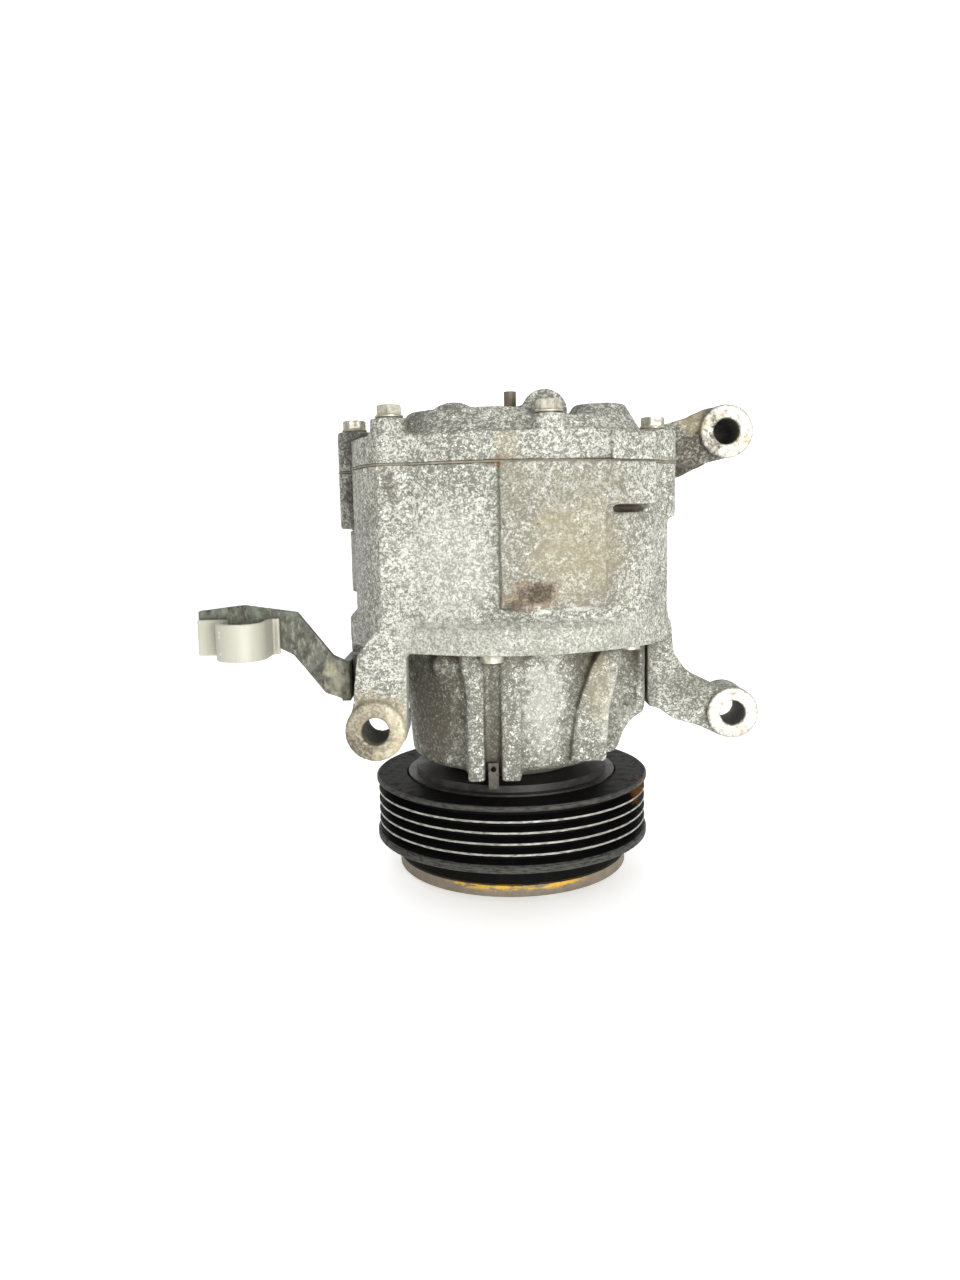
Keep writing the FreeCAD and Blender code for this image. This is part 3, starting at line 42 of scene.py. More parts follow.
# Metres throughout. +Z runs from the clutch to the rear cover, -Y is the side with the flat pad.
MM = 0.001
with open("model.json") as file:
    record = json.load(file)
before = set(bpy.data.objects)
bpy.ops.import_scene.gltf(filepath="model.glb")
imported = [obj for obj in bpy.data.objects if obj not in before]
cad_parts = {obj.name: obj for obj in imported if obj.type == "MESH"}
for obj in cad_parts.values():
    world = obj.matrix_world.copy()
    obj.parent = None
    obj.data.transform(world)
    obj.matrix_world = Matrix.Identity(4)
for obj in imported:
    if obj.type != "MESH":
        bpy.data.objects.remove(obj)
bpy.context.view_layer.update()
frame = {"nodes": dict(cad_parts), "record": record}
NODES = frame["nodes"]
MOUNTS = {mount["name"]: mount for mount in frame["record"]["mounts"]}
BODIES = frame["record"]["behaviour"]["bodies"]
BODY_OF = {node: body for body, members in BODIES.items() for node in members}
SLOT_OF = {part["node"]: part["material_slot"] for part in frame["record"]["subparts"]}

PITCH = 3.56 * MM                        # belt groove to belt groove
BELT_PLANE = MOUNTS["belt_seat"]["pos_m"][2]
CREST_RADIUS = 47.0 * MM
GASKET_LEVEL = 140.25 * MM
EAR_RADII = {"ear_left": 9.3 * MM, "ear_right": 8.8 * MM, "ear_top": 8.8 * MM}
BAND_TOP = 93 * MM                       # upper edge of the band round the casing's skirt
PORT_MOUTH = 50 * MM                     # how far behind the shaft the pipe ports open
PORT_FLOOR = 25 * MM                     # the ports lie wholly behind this
ROTOR_SPACE = 33 * MM                    # radius round the shaft that holds the moving parts
SCREW_SHANK = 2.5 * MM                   # radii and heights of the flange screws
SCREW_FLANGE = 4.3 * MM
SCREW_FLATS = 7.0 * MM                   # across the hexagon
SCREW_HEAD = 2.9 * MM
SCREW_WASHER = 0.8 * MM
SCREW_SPACE = 12 * MM                    # points further apart than this belong to two screws
SCREW_STEPS = 60                         # points round a screw
PINPOINT = 0.0001 * MM                   # radius of the ring that closes a screw's end
FLOOR_REACH = 2.5                        # metres of floor in front, and height of the backdrop
FLOOR_HALF_WIDTH = 3
FLOOR_DROP = 0.2 * MM                    # keeps the floor just clear of the clutch
BACKDROP_BEND = 0.25
LENS_MM = 36.2                           # camera: lens, sensor width, place and two of its axes
SENSOR_MM = 36
CAMERA_PLACE = Vector((-10.14, -336.13, 124.95)) * MM
CAMERA_RIGHT = Vector((0.9998, -0.0026, -0.0199))
CAMERA_AHEAD = Vector((0.0, 0.9917, -0.1289))


def tint(red, green, blue):
    """A colour given as screen values, in the linear values that shaders take."""
    def straight(value):
        value /= 255
        return value / 12.92 if value <= 0.04045 else ((value + 0.055) / 1.055) ** 2.4
    return (straight(red), straight(green), straight(blue))


def colour_property(label, note, shade):
    return bpy.props.FloatVectorProperty(
        name=label, description=note, subtype="COLOR", size=3, min=0, max=1, default=tint(*shade))


def length_property(label, note, millimetres):
    return bpy.props.FloatProperty(
        name=label, description=note, default=millimetres * MM, min=0, unit="LENGTH", precision=5)


class CompressorSizes(bpy.types.PropertyGroup):
    """How closely the metal's surfaces are worked."""
    casting_grid: length_property("Casting grid", "Spacing of the castings' surface points", 0.7)
    sheet_grid: length_property("Sheet grid", "Spacing of the bracket's and clip's surface points", 0.35)
    casting_skin: length_property("Casting skin", "Depth of the castings' rough skin", 0.16)
    casting_swell: length_property("Casting swell", "Depth of the castings' broad unevenness", 0.22)
    shell_passes: bpy.props.IntProperty(
        name="Shell passes", description="Rounding passes over the centre casting", default=4, min=0)
    cover_passes: bpy.props.IntProperty(
        name="Cover passes", description="Rounding passes over the rear cover", default=9, min=0)
    nose_passes: bpy.props.IntProperty(
        name="Nose passes", description="Rounding passes over the front casting", default=16, min=0)


class CompressorColours(bpy.types.PropertyGroup):
    """Colours of the metals and what has settled on them."""
    casting_dark: colour_property("Casting, dark", "Bare casting under the oxide", (96, 94, 84))
    casting_mid: colour_property("Casting", "Dull casting", (136, 136, 125))
    # the oxide colour also paints one lit patch, a painted highlight, on the left side pad
    oxide_and_light: colour_property("Oxide", "Pale speckle on the castings", (226, 227, 217))
    casting_warm: colour_property("Casting, warm", "Beige film on the pad", (168, 156, 122))
    # the grime colour is real dirt in pits and stains, and also painted shade in corners, recesses and
    # undersides
    grime_and_shade: colour_property("Grime", "Dirt in the castings' corners", (74, 69, 57))
    # the burnt-oil colour also paints shadow lines under a screw boss, under the skirt and beside the nose
    burn_and_shadow: colour_property("Burnt oil", "Black-brown stains", (58, 49, 36))
    machined: colour_property("Machined face", "Freshly cut aluminium", (216, 213, 200))
    rust: colour_property("Rust", "Rust on steel and on the ears", (128, 88, 42))
    black: colour_property("Pulley black", "Paint of the pulley", (15, 15, 15))
    worn: colour_property("Worn crest", "Steel rubbed bare by the belt", (176, 176, 168))
    paint_mark: colour_property("Paint mark", "Yellow mark on the clutch", (214, 168, 44))
    zinc: colour_property("Zinc", "Plated screws", (200, 197, 182))
    cream: colour_property("Clip cream", "Chalky plating of the clip", (178, 177, 163))
    sheet: colour_property("Sheet steel", "Dull zinc of the bracket", (104, 103, 93))


class StageSettings(bpy.types.PropertyGroup):
    """Floor, backdrop and lights."""
    floor_colour: colour_property("Floor", "Pale floor and backdrop", (251, 251, 250))
    backdrop_distance: length_property("Backdrop distance", "Shaft to backdrop", 640)
    key_power: bpy.props.FloatProperty(
        name="Key light", description="Strength of the large light", default=7.2, min=0, unit="POWER")
    fill_power: bpy.props.FloatProperty(
        name="Fill light", description="Strength of the side light", default=1.0, min=0, unit="POWER")
    sky: bpy.props.FloatProperty(
        name="Sky", description="Strength of the even light", default=0.40, min=0)
    floor_glow: bpy.props.FloatProperty(
        name="Floor glow", description="Light given off by the floor, which softens the shadow on it",
        default=0.48, min=0)


# Finishes ---------------------------------------------------------------------------------------

class Finish:
    """A node material, built up from speckle, patches and stains measured in millimetres."""

    def __init__(self, name, roughness=0.5, metallic=0.0):
        self.material = bpy.data.materials.new(name)
        self.material.use_nodes = True
        self.tree = self.material.node_tree
        self.shader = self.tree.nodes["Principled BSDF"]
        self.shader.inputs["Roughness"].default_value = roughness
        self.shader.inputs["Metallic"].default_value = metallic
        self.place = self.add("ShaderNodeTexCoord").outputs["Object"]
        self.normal = None

    def add(self, kind, **settings):
        node = self.tree.nodes.new(kind)
        for name, value in settings.items():
            setattr(node, name, value)
        return node

    def feed(self, socket, value):
        """Links a socket, or writes a number or colour on it."""
        if isinstance(value, bpy.types.NodeSocket):
            self.tree.links.new(value, socket)
        elif socket.type == "RGBA":
            socket.default_value = (*value, 1)
        else:
            socket.default_value = value

    def math(self, operation, one, other=0.0):
        node = self.add("ShaderNodeMath", operation=operation, use_clamp=True)
        for socket, value in zip(node.inputs, (one, other)):
            self.feed(socket, value)
        return node.outputs[0]

    def ramp(self, value, low, high):
        """0 below low, 1 above high, smooth between them; low may be the larger."""
        node = self.add("ShaderNodeMapRange", interpolation_type="SMOOTHSTEP")
        self.feed(node.inputs["Value"], value)
        swapped = low > high
        node.inputs["From Min"].default_value = min(low, high)
        node.inputs["From Max"].default_value = max(low, high)
        node.inputs["To Min"].default_value = 1.0 if swapped else 0.0
        node.inputs["To Max"].default_value = 0.0 if swapped else 1.0
        return node.outputs["Result"]

    def noise(self, grain, detail=3.0, shift=0.0, stretch=(1, 1, 1)):
        """Noise whose lumps are about one grain, in millimetres, across."""
        moved = self.add("ShaderNodeMapping")
        self.feed(moved.inputs["Vector"], self.place)
        moved.inputs["Location"].default_value = (shift, shift * 0.7, -shift)
        moved.inputs["Scale"].default_value = stretch
        node = self.add("ShaderNodeTexNoise")
        self.feed(node.inputs["Vector"], moved.outputs[0])
        node.inputs["Scale"].default_value = 1 / (grain * MM)
        node.inputs["Detail"].default_value = detail
        node.inputs["Roughness"].default_value = 0.62
        return node.outputs["Fac"]

    def cells(self, size, shift=0.0):
        """Little cells, each with its own random number."""
        moved = self.add("ShaderNodeMapping")
        self.feed(moved.inputs["Vector"], self.place)
        moved.inputs["Location"].default_value = (shift, -shift, shift * 0.6)
        node = self.add("ShaderNodeTexVoronoi")
        self.feed(node.inputs["Vector"], moved.outputs[0])
        node.inputs["Scale"].default_value = 1 / (size * MM)
        split = self.add("ShaderNodeSeparateColor")
        self.feed(split.inputs[0], node.outputs["Color"])
        return split.outputs[0]

    def blend(self, *parts):
        """A weighted sum of values, given as (value, weight) pairs."""
        total = None
        for value, weight in parts:
            scaled = self.math("MULTIPLY", value, weight)
            total = scaled if total is None else self.math("ADD", total, scaled)
        return total

    def speckle(self, grain, low, high, **more):
        return self.ramp(self.noise(grain, **more), low, high)

    def mix(self, under, over, amount):
        node = self.add("ShaderNodeMix", data_type="RGBA")
        self.feed(node.inputs["Factor"], amount)
        self.feed(node.inputs[6], under)
        self.feed(node.inputs[7], over)
        return node.outputs[2]

    def axis(self, letter):
        node = self.add("ShaderNodeSeparateXYZ")
        self.feed(node.inputs[0], self.place)
        return node.outputs[letter]

    def spot(self, centre, radii, ragged=0.6, grain=4.0):
        """1 at a centre, fading out at its radii, in millimetres, with a ragged edge."""
        moved = self.add("ShaderNodeMapping", vector_type="TEXTURE")
        self.feed(moved.inputs["Vector"], self.place)
        moved.inputs["Location"].default_value = [value * MM for value in centre]
        moved.inputs["Scale"].default_value = [value * MM for value in radii]
        reach = self.add("ShaderNodeVectorMath", operation="LENGTH")
        self.feed(reach.inputs[0], moved.outputs[0])
        wobble = self.math("MULTIPLY", self.noise(grain, shift=centre[0] * MM), ragged * 2)
        edge = self.add("ShaderNodeMath", operation="ADD")
        self.feed(edge.inputs[0], reach.outputs["Value"])
        self.feed(edge.inputs[1], wobble)
        return self.ramp(edge.outputs[0], 1.0 + ragged, 0.45 + ragged)

    def radius(self):
        """Distance from the shaft's axis."""
        flat = self.add("ShaderNodeVectorMath", operation="MULTIPLY")
        self.feed(flat.inputs[0], self.place)
        flat.inputs[1].default_value = (1, 1, 0)
        reach = self.add("ShaderNodeVectorMath", operation="LENGTH")
        self.feed(reach.inputs[0], flat.outputs[0])
        return reach.outputs["Value"]

    def corners(self, reach, low=0.45, high=0.95):
        """1 in corners and recesses that ambient occlusion finds, where painted shade goes."""
        node = self.add("ShaderNodeAmbientOcclusion", samples=6)
        node.inputs["Distance"].default_value = reach * MM
        return self.ramp(node.outputs["AO"], high, low)

    def edges(self, low=0.53, high=0.60):
        """1 along outside edges that get rubbed."""
        node = self.add("ShaderNodeNewGeometry")
        return self.ramp(node.outputs["Pointiness"], low, high)

    def mask(self, name):
        return self.add("ShaderNodeAttribute", attribute_name=name).outputs["Fac"]

    def bump(self, height, depth):
        """Adds relief of a depth in millimetres."""
        node = self.add("ShaderNodeBump")
        node.inputs["Strength"].default_value = 1.0
        node.inputs["Distance"].default_value = depth * MM
        self.feed(node.inputs["Height"], height)
        if self.normal is not None:
            self.feed(node.inputs["Normal"], self.normal)
        self.normal = node.outputs[0]

    def done(self, colour, roughness=None, metallic=None):
        self.feed(self.shader.inputs["Base Color"], colour)
        if roughness is not None:
            self.feed(self.shader.inputs["Roughness"], roughness)
        if metallic is not None:
            self.feed(self.shader.inputs["Metallic"], metallic)
        if self.normal is not None:
            self.feed(self.shader.inputs["Normal"], self.normal)
        return self.material


def between(finish, low, high, amount):
    """A number that runs from low to high as a mask goes from 0 to 1."""
    node = finish.add("ShaderNodeMapRange")
    finish.feed(node.inputs["Value"], amount)
    node.inputs["To Min"].default_value = low
    node.inputs["To Max"].default_value = high
    return node.outputs["Result"]


def oxide_speckle(finish, colours, pale):
    """Dull metal under fine pale grains that gather in soft clusters."""
    broad = finish.noise(17, detail=3, shift=0.3)
    cluster = finish.noise(2.0, detail=5, shift=0.7)
    grain = finish.noise(0.6, detail=5)
    cell = finish.blend((finish.cells(0.40), 0.55), (finish.cells(0.75, 0.2), 0.45))
    gathered = finish.blend((cell, 0.30), (grain, 0.34), (cluster, 0.22), (broad, 0.14))
    threshold = 0.590 - 0.10 * pale
    flecks = finish.ramp(gathered, threshold - 0.05, threshold + 0.07)
    shade = finish.ramp(finish.blend((cell, 0.30), (broad, 0.70)), 0.34, 0.66)
    ground = finish.mix(colours.casting_dark, colours.casting_mid,
                        between(finish, 0.62 * pale, 0.98 * pale, shade))
    cloud = finish.math("MULTIPLY", finish.ramp(cluster, 0.56, 0.36), 0.40)
    ground = finish.mix(ground, colours.casting_dark, cloud)
    colour = finish.mix(ground, colours.oxide_and_light, finish.math("MULTIPLY", flecks, 0.36 + 0.30 * pale))
    glint = finish.math("MULTIPLY", finish.ramp(finish.cells(0.5, 0.4), 0.86, 0.92),
                        finish.ramp(cluster, 0.44, 0.60))
    return finish.mix(colour, tint(250, 250, 244), finish.math("MULTIPLY", glint, 0.8)), flecks


def casting_finish(name, colours, pale, warm, stains):
    """Weathered casting: pale oxidised grains over dull metal, pits, painted shade in corners and
    undersides, stains with some painted shade and light among them, machined faces.
    """
    finish = Finish(name, metallic=0.0)
    colour, flecks = oxide_speckle(finish, colours, pale)
    if warm:
        colour = band_and_film(finish, colours, colour)
    pits = finish.speckle(1.5, 0.675, 0.705, detail=3, shift=0.5)
    colour = finish.mix(colour, colours.grime_and_shade, finish.math("MULTIPLY", pits, 0.75))
    colour = finish.mix(colour, colours.oxide_and_light, finish.math("MULTIPLY", finish.edges(), 0.35))
    # painted shade: the grime colour darkens corners, recesses and undersides that ambient occlusion finds
    colour = finish.mix(colour, colours.grime_and_shade, finish.math("MULTIPLY", finish.corners(9), 0.92))
    cut = finish.mask("machined")
    worn = finish.speckle(1.3, 0.52, 0.62, detail=5, shift=0.8)
    rusted = finish.speckle(3.4, 0.54, 0.66, detail=5, shift=0.2)
    face = finish.mix(colours.machined, colours.casting_mid, finish.math("MULTIPLY", worn, 0.7))
    face = finish.mix(face, colours.rust, finish.math("MULTIPLY", rusted, 0.42))
    face = finish.mix(face, colours.grime_and_shade, finish.math("MULTIPLY", pits, 0.8))
    colour = finish.mix(colour, face, cut)
    broken = between(finish, 0.62, 1.0, finish.speckle(0.9, 0.40, 0.58, detail=4, shift=0.15))
    for shade, centre, radii, strength in stains:
        patch = finish.math("MULTIPLY", finish.spot(centre, radii, 0.8, 2.4), strength)
        colour = finish.mix(colour, getattr(colours, shade), finish.math("MULTIPLY", patch, broken))
    finish.bump(finish.noise(0.5, detail=3), 0.12)
    finish.bump(flecks, 0.06)
    rough = between(finish, 0.78, 0.46, cut)
    return finish.done(colour, rough, between(finish, 0.08, 0.5, cut))


def band_and_film(finish, colours, colour):
    """A calmer grey band round the skirt, and a beige film on the flat pad."""
    across, along, level = finish.axis("X"), finish.axis("Y"), finish.axis("Z")
    band = finish.math("MULTIPLY", finish.ramp(level, BAND_TOP + 1.5 * MM, BAND_TOP - 0.5 * MM),
                       finish.ramp(finish.radius(), 58 * MM, 56 * MM))
    band = finish.math("MULTIPLY", band, finish.ramp(along, -30 * MM, -42 * MM))
    grain = finish.speckle(0.7, 0.40, 0.62, detail=4, shift=0.6)
    calm = finish.mix(tint(138, 139, 128), tint(200, 201, 189), grain)
    colour = finish.mix(colour, calm, finish.math("MULTIPLY", band, 0.45))
    film = finish.math("MULTIPLY", finish.ramp(across, -5.5 * MM, -3.5 * MM),
                       finish.ramp(across, 48 * MM, 24 * MM))
    film = finish.math("MULTIPLY", film, finish.ramp(along, -25 * MM, -40 * MM))
    film = finish.math("MULTIPLY", film, finish.ramp(level, 94 * MM, 99 * MM))
    film = finish.math("MULTIPLY", film, finish.ramp(level, 141 * MM, 139.5 * MM))
    patchy = between(finish, 0.20, 0.62, finish.speckle(4, 0.36, 0.62, detail=4))
    dulled = finish.math("MULTIPLY", film, patchy)
    colour = finish.mix(colour, tint(122, 117, 98), dulled)
    beige = finish.math("MULTIPLY", film, finish.spot((20, -48, 114), (20, 20, 17), 1.0, 7))
    return finish.mix(colour, colours.casting_warm, finish.math("MULTIPLY", beige, 0.30))


def pulley_finish(colours):
    """Semi-gloss black, rubbed to bare steel on the crests and dusty behind."""
    finish = Finish("pulley_paint", 0.4)
    level = finish.axis("Z")
    dust = finish.speckle(3.5, 0.46, 0.72, detail=6)
    behind = finish.ramp(level, BELT_PLANE + 2.5 * PITCH + 0.8 * MM, BELT_PLANE + 2.5 * PITCH + 1.6 * MM)
    haze = finish.math("MULTIPLY", dust, between(finish, 0.05, 0.14, behind))
    colour = finish.mix(colours.black, tint(84, 74, 60), haze)
    crest = finish.ramp(finish.radius(), CREST_RADIUS - 0.16 * MM, CREST_RADIUS - 0.04 * MM)
    middle = finish.math("MULTIPLY", finish.ramp(level, BELT_PLANE - 2.4 * PITCH, BELT_PLANE - 2.2 * PITCH),
                         finish.ramp(level, BELT_PLANE + 2.4 * PITCH, BELT_PLANE + 2.2 * PITCH))
    lines = finish.math("MULTIPLY", crest, between(finish, 0.16, 1.0, middle))
    scratches = finish.speckle(2.6, 0.34, 0.60, detail=5, stretch=(1, 1, 6))
    wear = finish.math("MULTIPLY", lines, between(finish, 0.30, 1.0, scratches))
    colour = finish.mix(colour, colours.worn, wear)
    marks = finish.spot((43, -18, 31), (6, 9, 5), 0.9, 1.6)
    colour = finish.mix(colour, colours.rust, finish.math("MULTIPLY", marks, 0.7))
    finish.bump(finish.noise(1.1, detail=4), 0.04)
    finish.shader.inputs["Specular IOR Level"].default_value = 0.02
    return finish.done(colour, between(finish, 0.42, 0.70, dust), finish.math("MULTIPLY", wear, 0.75))


def rusty_finish(name, colours, mark=False):
    """Steel browned all over, darker in patches, with an optional paint mark on the rim."""
    finish = Finish(name, 0.7)
    patches = finish.speckle(4.5, 0.34, 0.66, detail=5)
    grains = finish.speckle(0.8, 0.45, 0.62, detail=3, shift=0.4)
    colour = finish.mix(tint(40, 36, 30), tint(94, 83, 67), patches)
    colour = finish.mix(colour, colours.rust, finish.math("MULTIPLY", grains, 0.42))
    colour = finish.mix(colour, tint(168, 160, 144), finish.math("MULTIPLY", finish.edges(), 0.35))
    if mark:
        stripe = finish.math("MULTIPLY", finish.ramp(finish.axis("Y"), -31 * MM, -37 * MM),
                             finish.ramp(finish.axis("Z"), 4.6 * MM, 6.4 * MM))
        broken = finish.speckle(2.6, 0.44, 0.56, detail=5, shift=0.9, stretch=(0.35, 1, 1.6))
        stripe = finish.math("MULTIPLY", stripe, broken)
        colour = finish.mix(colour, colours.paint_mark, finish.math("MULTIPLY", stripe, 0.92))
    finish.bump(grains, 0.05)
    return finish.done(colour, between(finish, 0.58, 0.82, grains), 0.35)


def zinc_finish(name, base, stain, strength, roughness=0.36):
    """Plated steel with dull patches, a little staining and painted shade in its corners."""
    finish = Finish(name, roughness)
    dull = finish.speckle(1.6, 0.38, 0.66, detail=4)
    spots = finish.speckle(1.0, 0.56, 0.68, detail=3, shift=0.6)
    colour = finish.mix(base, tuple(value * 0.62 for value in base), dull)
    colour = finish.mix(colour, stain, finish.math("MULTIPLY", spots, strength))
    # painted shade: the stain colour darkens the corners that ambient occlusion finds
    colour = finish.mix(colour, stain, finish.math("MULTIPLY", finish.corners(2.5), 0.55))
    finish.bump(finish.noise(0.5, detail=3), 0.02)
    return finish.done(colour, between(finish, roughness, roughness + 0.26, dull), 0.62)


def sheet_finish(colours):
    """Dirty zinc-plated sheet, brown in patches with a green bloom at its edges."""
    finish = Finish("bracket_sheet", 0.55)
    patches = finish.speckle(3.6, 0.36, 0.64, detail=5)
    streaks = finish.speckle(1.2, 0.50, 0.66, detail=3, shift=0.3, stretch=(1, 1, 0.4))
    colour = finish.mix(tint(58, 56, 48), colours.sheet, patches)
    colour = finish.mix(colour, tint(196, 194, 182), finish.math("MULTIPLY", streaks, 0.28))
    bloom = finish.math("MULTIPLY", finish.ramp(finish.axis("Z"), 88 * MM, 96 * MM),
                        finish.speckle(5, 0.42, 0.60, detail=4, shift=0.7))
    colour = finish.mix(colour, tint(126, 142, 122), finish.math("MULTIPLY", bloom, 0.5))
    root = finish.spot((-57, -18, 72), (7, 8, 9), 0.6)
    colour = finish.mix(colour, tint(188, 186, 160), finish.math("MULTIPLY", root, 0.7))
    colour = finish.mix(colour, tint(214, 212, 202), finish.math("MULTIPLY", finish.edges(), 0.5))
    # painted shade: the grime colour in the bracket's corners, found by ambient occlusion
    colour = finish.mix(colour, colours.grime_and_shade, finish.math("MULTIPLY", finish.corners(5), 0.7))
    finish.bump(finish.noise(0.8, detail=4), 0.05)
    return finish.done(colour, between(finish, 0.46, 0.70, patches), 0.35)


def clip_finish(colours):
    """Chalky cream plating with faint vertical scuffs."""
    finish = Finish("clip_plating", 0.62)
    scuffs = finish.speckle(1.4, 0.46, 0.70, detail=4, stretch=(1, 1, 0.18))
    colour = finish.mix(colours.cream, tint(176, 170, 150), finish.math("MULTIPLY", scuffs, 0.5))
    # painted shade: the grime colour in the clip's corners, found by ambient occlusion
    colour = finish.mix(colour, colours.grime_and_shade, finish.math("MULTIPLY", finish.corners(4), 0.75))
    colour = finish.mix(colour, tint(244, 242, 232), finish.math("MULTIPLY", finish.edges(), 0.5))
    finish.bump(scuffs, 0.03)
    return finish.done(colour, between(finish, 0.52, 0.72, scuffs), 0.08)


def plain_metal_finish(name, shade, roughness, metallic=0.9, grain=1.2, stain=(70, 62, 52)):
    """Clean metal inside the unit, with fine tool marks and a trace of oil."""
    finish = Finish(name, roughness)
    marks = finish.speckle(grain, 0.40, 0.66, detail=4, stretch=(1, 1, 5))
    oil = finish.speckle(6, 0.52, 0.70, detail=3, shift=0.4)
    colour = finish.mix(tint(*shade), tuple(value * 0.78 for value in tint(*shade)), marks)
    colour = finish.mix(colour, tint(*stain), finish.math("MULTIPLY", oil, 0.3))
    finish.bump(marks, 0.015)
    return finish.done(colour, between(finish, roughness, roughness + 0.15, oil), metallic)


def moulded_finish(name, shade, roughness, grain=0.9):
    """Rubber or plastic with a fine moulded grain."""
    finish = Finish(name, roughness)
    bloom = finish.speckle(4, 0.44, 0.68, detail=4)
    paler = tuple(min(1.0, value * 1.5 + 0.012) for value in tint(*shade))
    colour = finish.mix(tint(*shade), paler, bloom)
    finish.bump(finish.noise(grain, detail=3), 0.03)
    return finish.done(colour, between(finish, roughness, roughness + 0.12, bloom))


# Metal work -------------------------------------------------------------------------------------

def dress(thing, material):
    """Gives a mesh object one material."""
    thing.data.materials.clear()
    thing.data.materials.append(material)


def link_mesh(name, mesh):
    thing = bpy.data.objects.new(name, mesh)
    bpy.context.scene.collection.objects.link(thing)
    return thing


def stand_for(piece, *nodes):
    """A piece takes over CAD nodes of one body: hides them and joins the piece to their body."""
    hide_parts(*nodes)
    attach(piece, BODY_OF[nodes[0]])
    return piece


def settled(thing):
    """Bakes an object's modifiers into its mesh."""
    graph = bpy.context.evaluated_depsgraph_get()
    mesh = bpy.data.meshes.new_from_object(thing.evaluated_get(graph))
    thing.modifiers.clear()
    old = thing.data
    thing.data = mesh
    bpy.data.meshes.remove(old)
    return thing


def regrid(name, node, grid):
    """A copy of a CAD node with evenly spaced surface points, ready to be worked."""
    piece = link_mesh(name, NODES[node].data.copy())
    piece.data.name = name
    piece.data.materials.clear()
    remesh = piece.modifiers.new("Grid", "REMESH")
    remesh.mode = "VOXEL"
    remesh.voxel_size = grid
    remesh.use_smooth_shade = True
    return settled(piece)


def spots_of(mesh):
    points = np.zeros(len(mesh.vertices) * 3, np.float32)
    mesh.vertices.foreach_get("co", points)
    return points.reshape(-1, 3)


def normals_of(mesh):
    vectors = np.zeros(len(mesh.vertices) * 3, np.float32)
    mesh.vertex_normals.foreach_get("vector", vectors)
    return vectors.reshape(-1, 3)


def round_edges(piece, passes, keep):
    """Softens edges, apart from points whose keep value is 1."""
    group = piece.vertex_groups.new(name="soft")
    for level in (0.15, 0.5, 1.0):
        chosen = np.nonzero((1 - keep > level - 0.3) & (1 - keep <= level))[0]
        group.add([int(index) for index in chosen], level, "REPLACE")
    smooth = piece.modifiers.new("Round", "SMOOTH")
    smooth.factor = 0.5
    smooth.iterations = passes
    smooth.vertex_group = group.name
    settled(piece)
    piece.vertex_groups.clear()


def roughen(piece, skin, swell, keep):
    """Pushes points inwards by a fine skin and a broad swell, and leaves kept ones where they are."""
    mesh = piece.data
    points = spots_of(mesh)
    vectors = normals_of(mesh)
    for index, point in enumerate(points):
        if keep[index] >= 1:
            continue
        spot = Vector(point)
        fine = noise.fractal(spot / (1.5 * MM), 1.0, 2.1, 3)
        broad = noise.noise(spot / (9 * MM))
        depth = skin * (0.5 - 0.5 * fine) + swell * (0.5 - 0.5 * broad)
        points[index] = point - vectors[index] * depth * (1 - keep[index])
    mesh.vertices.foreach_set("co", points.ravel())
    mesh.update()


def near_plane(points, axis, level, reach):
    """1 on a plane, 0 further from it than reach."""
    return np.clip(1 - np.abs(points[:, axis] - level) / reach, 0, 1)


def ear_faces(points):
    """1 on the ears' cut end faces, and 1 on those and in their holes, from the record's mounts."""
    cut, crisp = np.zeros(len(points)), np.zeros(len(points))
    for name, outer in EAR_RADII.items():
        mount = MOUNTS[name]
        centre = np.array(mount["pos_m"])
        bore = mount["dims"]["r_mm"] * MM
        half = mount["dims"]["length_mm"] * MM / 2
        away = np.hypot(points[:, 0] - centre[0], points[:, 2] - centre[2])
        along = np.abs(points[:, 1] - centre[1])
        face = (np.abs(along - half) < 0.45 * MM) & (away < outer - 0.35 * MM)
        hole = (away < bore + 0.3 * MM) & (along <= half)
        rim = (along > half - 2.2 * MM) & (along < half + 0.3 * MM) & (away < outer + 0.5 * MM)
        crisp[rim] = 0.8
        crisp[face | hole] = 1.0
        cut[face] = 1.0
    return cut, crisp


def port_faces(points):
    """1 inside the pipe ports and on their mouths."""
    cut = np.zeros(len(points))
    for name in ("discharge_port", "suction_port", "port_screw"):
        mount = MOUNTS[name]
        centre = np.array(mount["pos_m"])
        away = np.hypot(points[:, 0] - centre[0], points[:, 2] - centre[2])
        near = np.abs(points[:, 1] - PORT_MOUTH) < 0.4 * MM
        cut[(away < mount["dims"]["r_mm"] * MM + 0.3 * MM) & (points[:, 1] > PORT_FLOOR)] = 1.0
        cut[near & (away < mount["dims"]["r_mm"] * MM + 3 * MM)] = 1.0
    return cut


def write_mask(piece, name, values):
    layer = piece.data.attributes.new(name, "FLOAT", "POINT")
    layer.data.foreach_set("value", np.asarray(values, np.float32))


def emboss(piece, marks):
    """Raises round marks on a casting's front: (across, level, radius, height) in millimetres."""
    mesh = piece.data
    points, vectors = spots_of(mesh), normals_of(mesh)
    facing = (vectors[:, 1] < -0.25) & (points[:, 1] < -20 * MM)
    for across, level, radius, height in marks:
        away = np.hypot(points[:, 0] - across * MM, points[:, 2] - level * MM) / (radius * MM)
        lift = np.where(facing, np.clip((1.0 - away) / 0.20, 0, 1), 0) * height * MM
        points += vectors * lift[:, None]
    mesh.vertices.foreach_set("co", points.ravel())
    mesh.update()


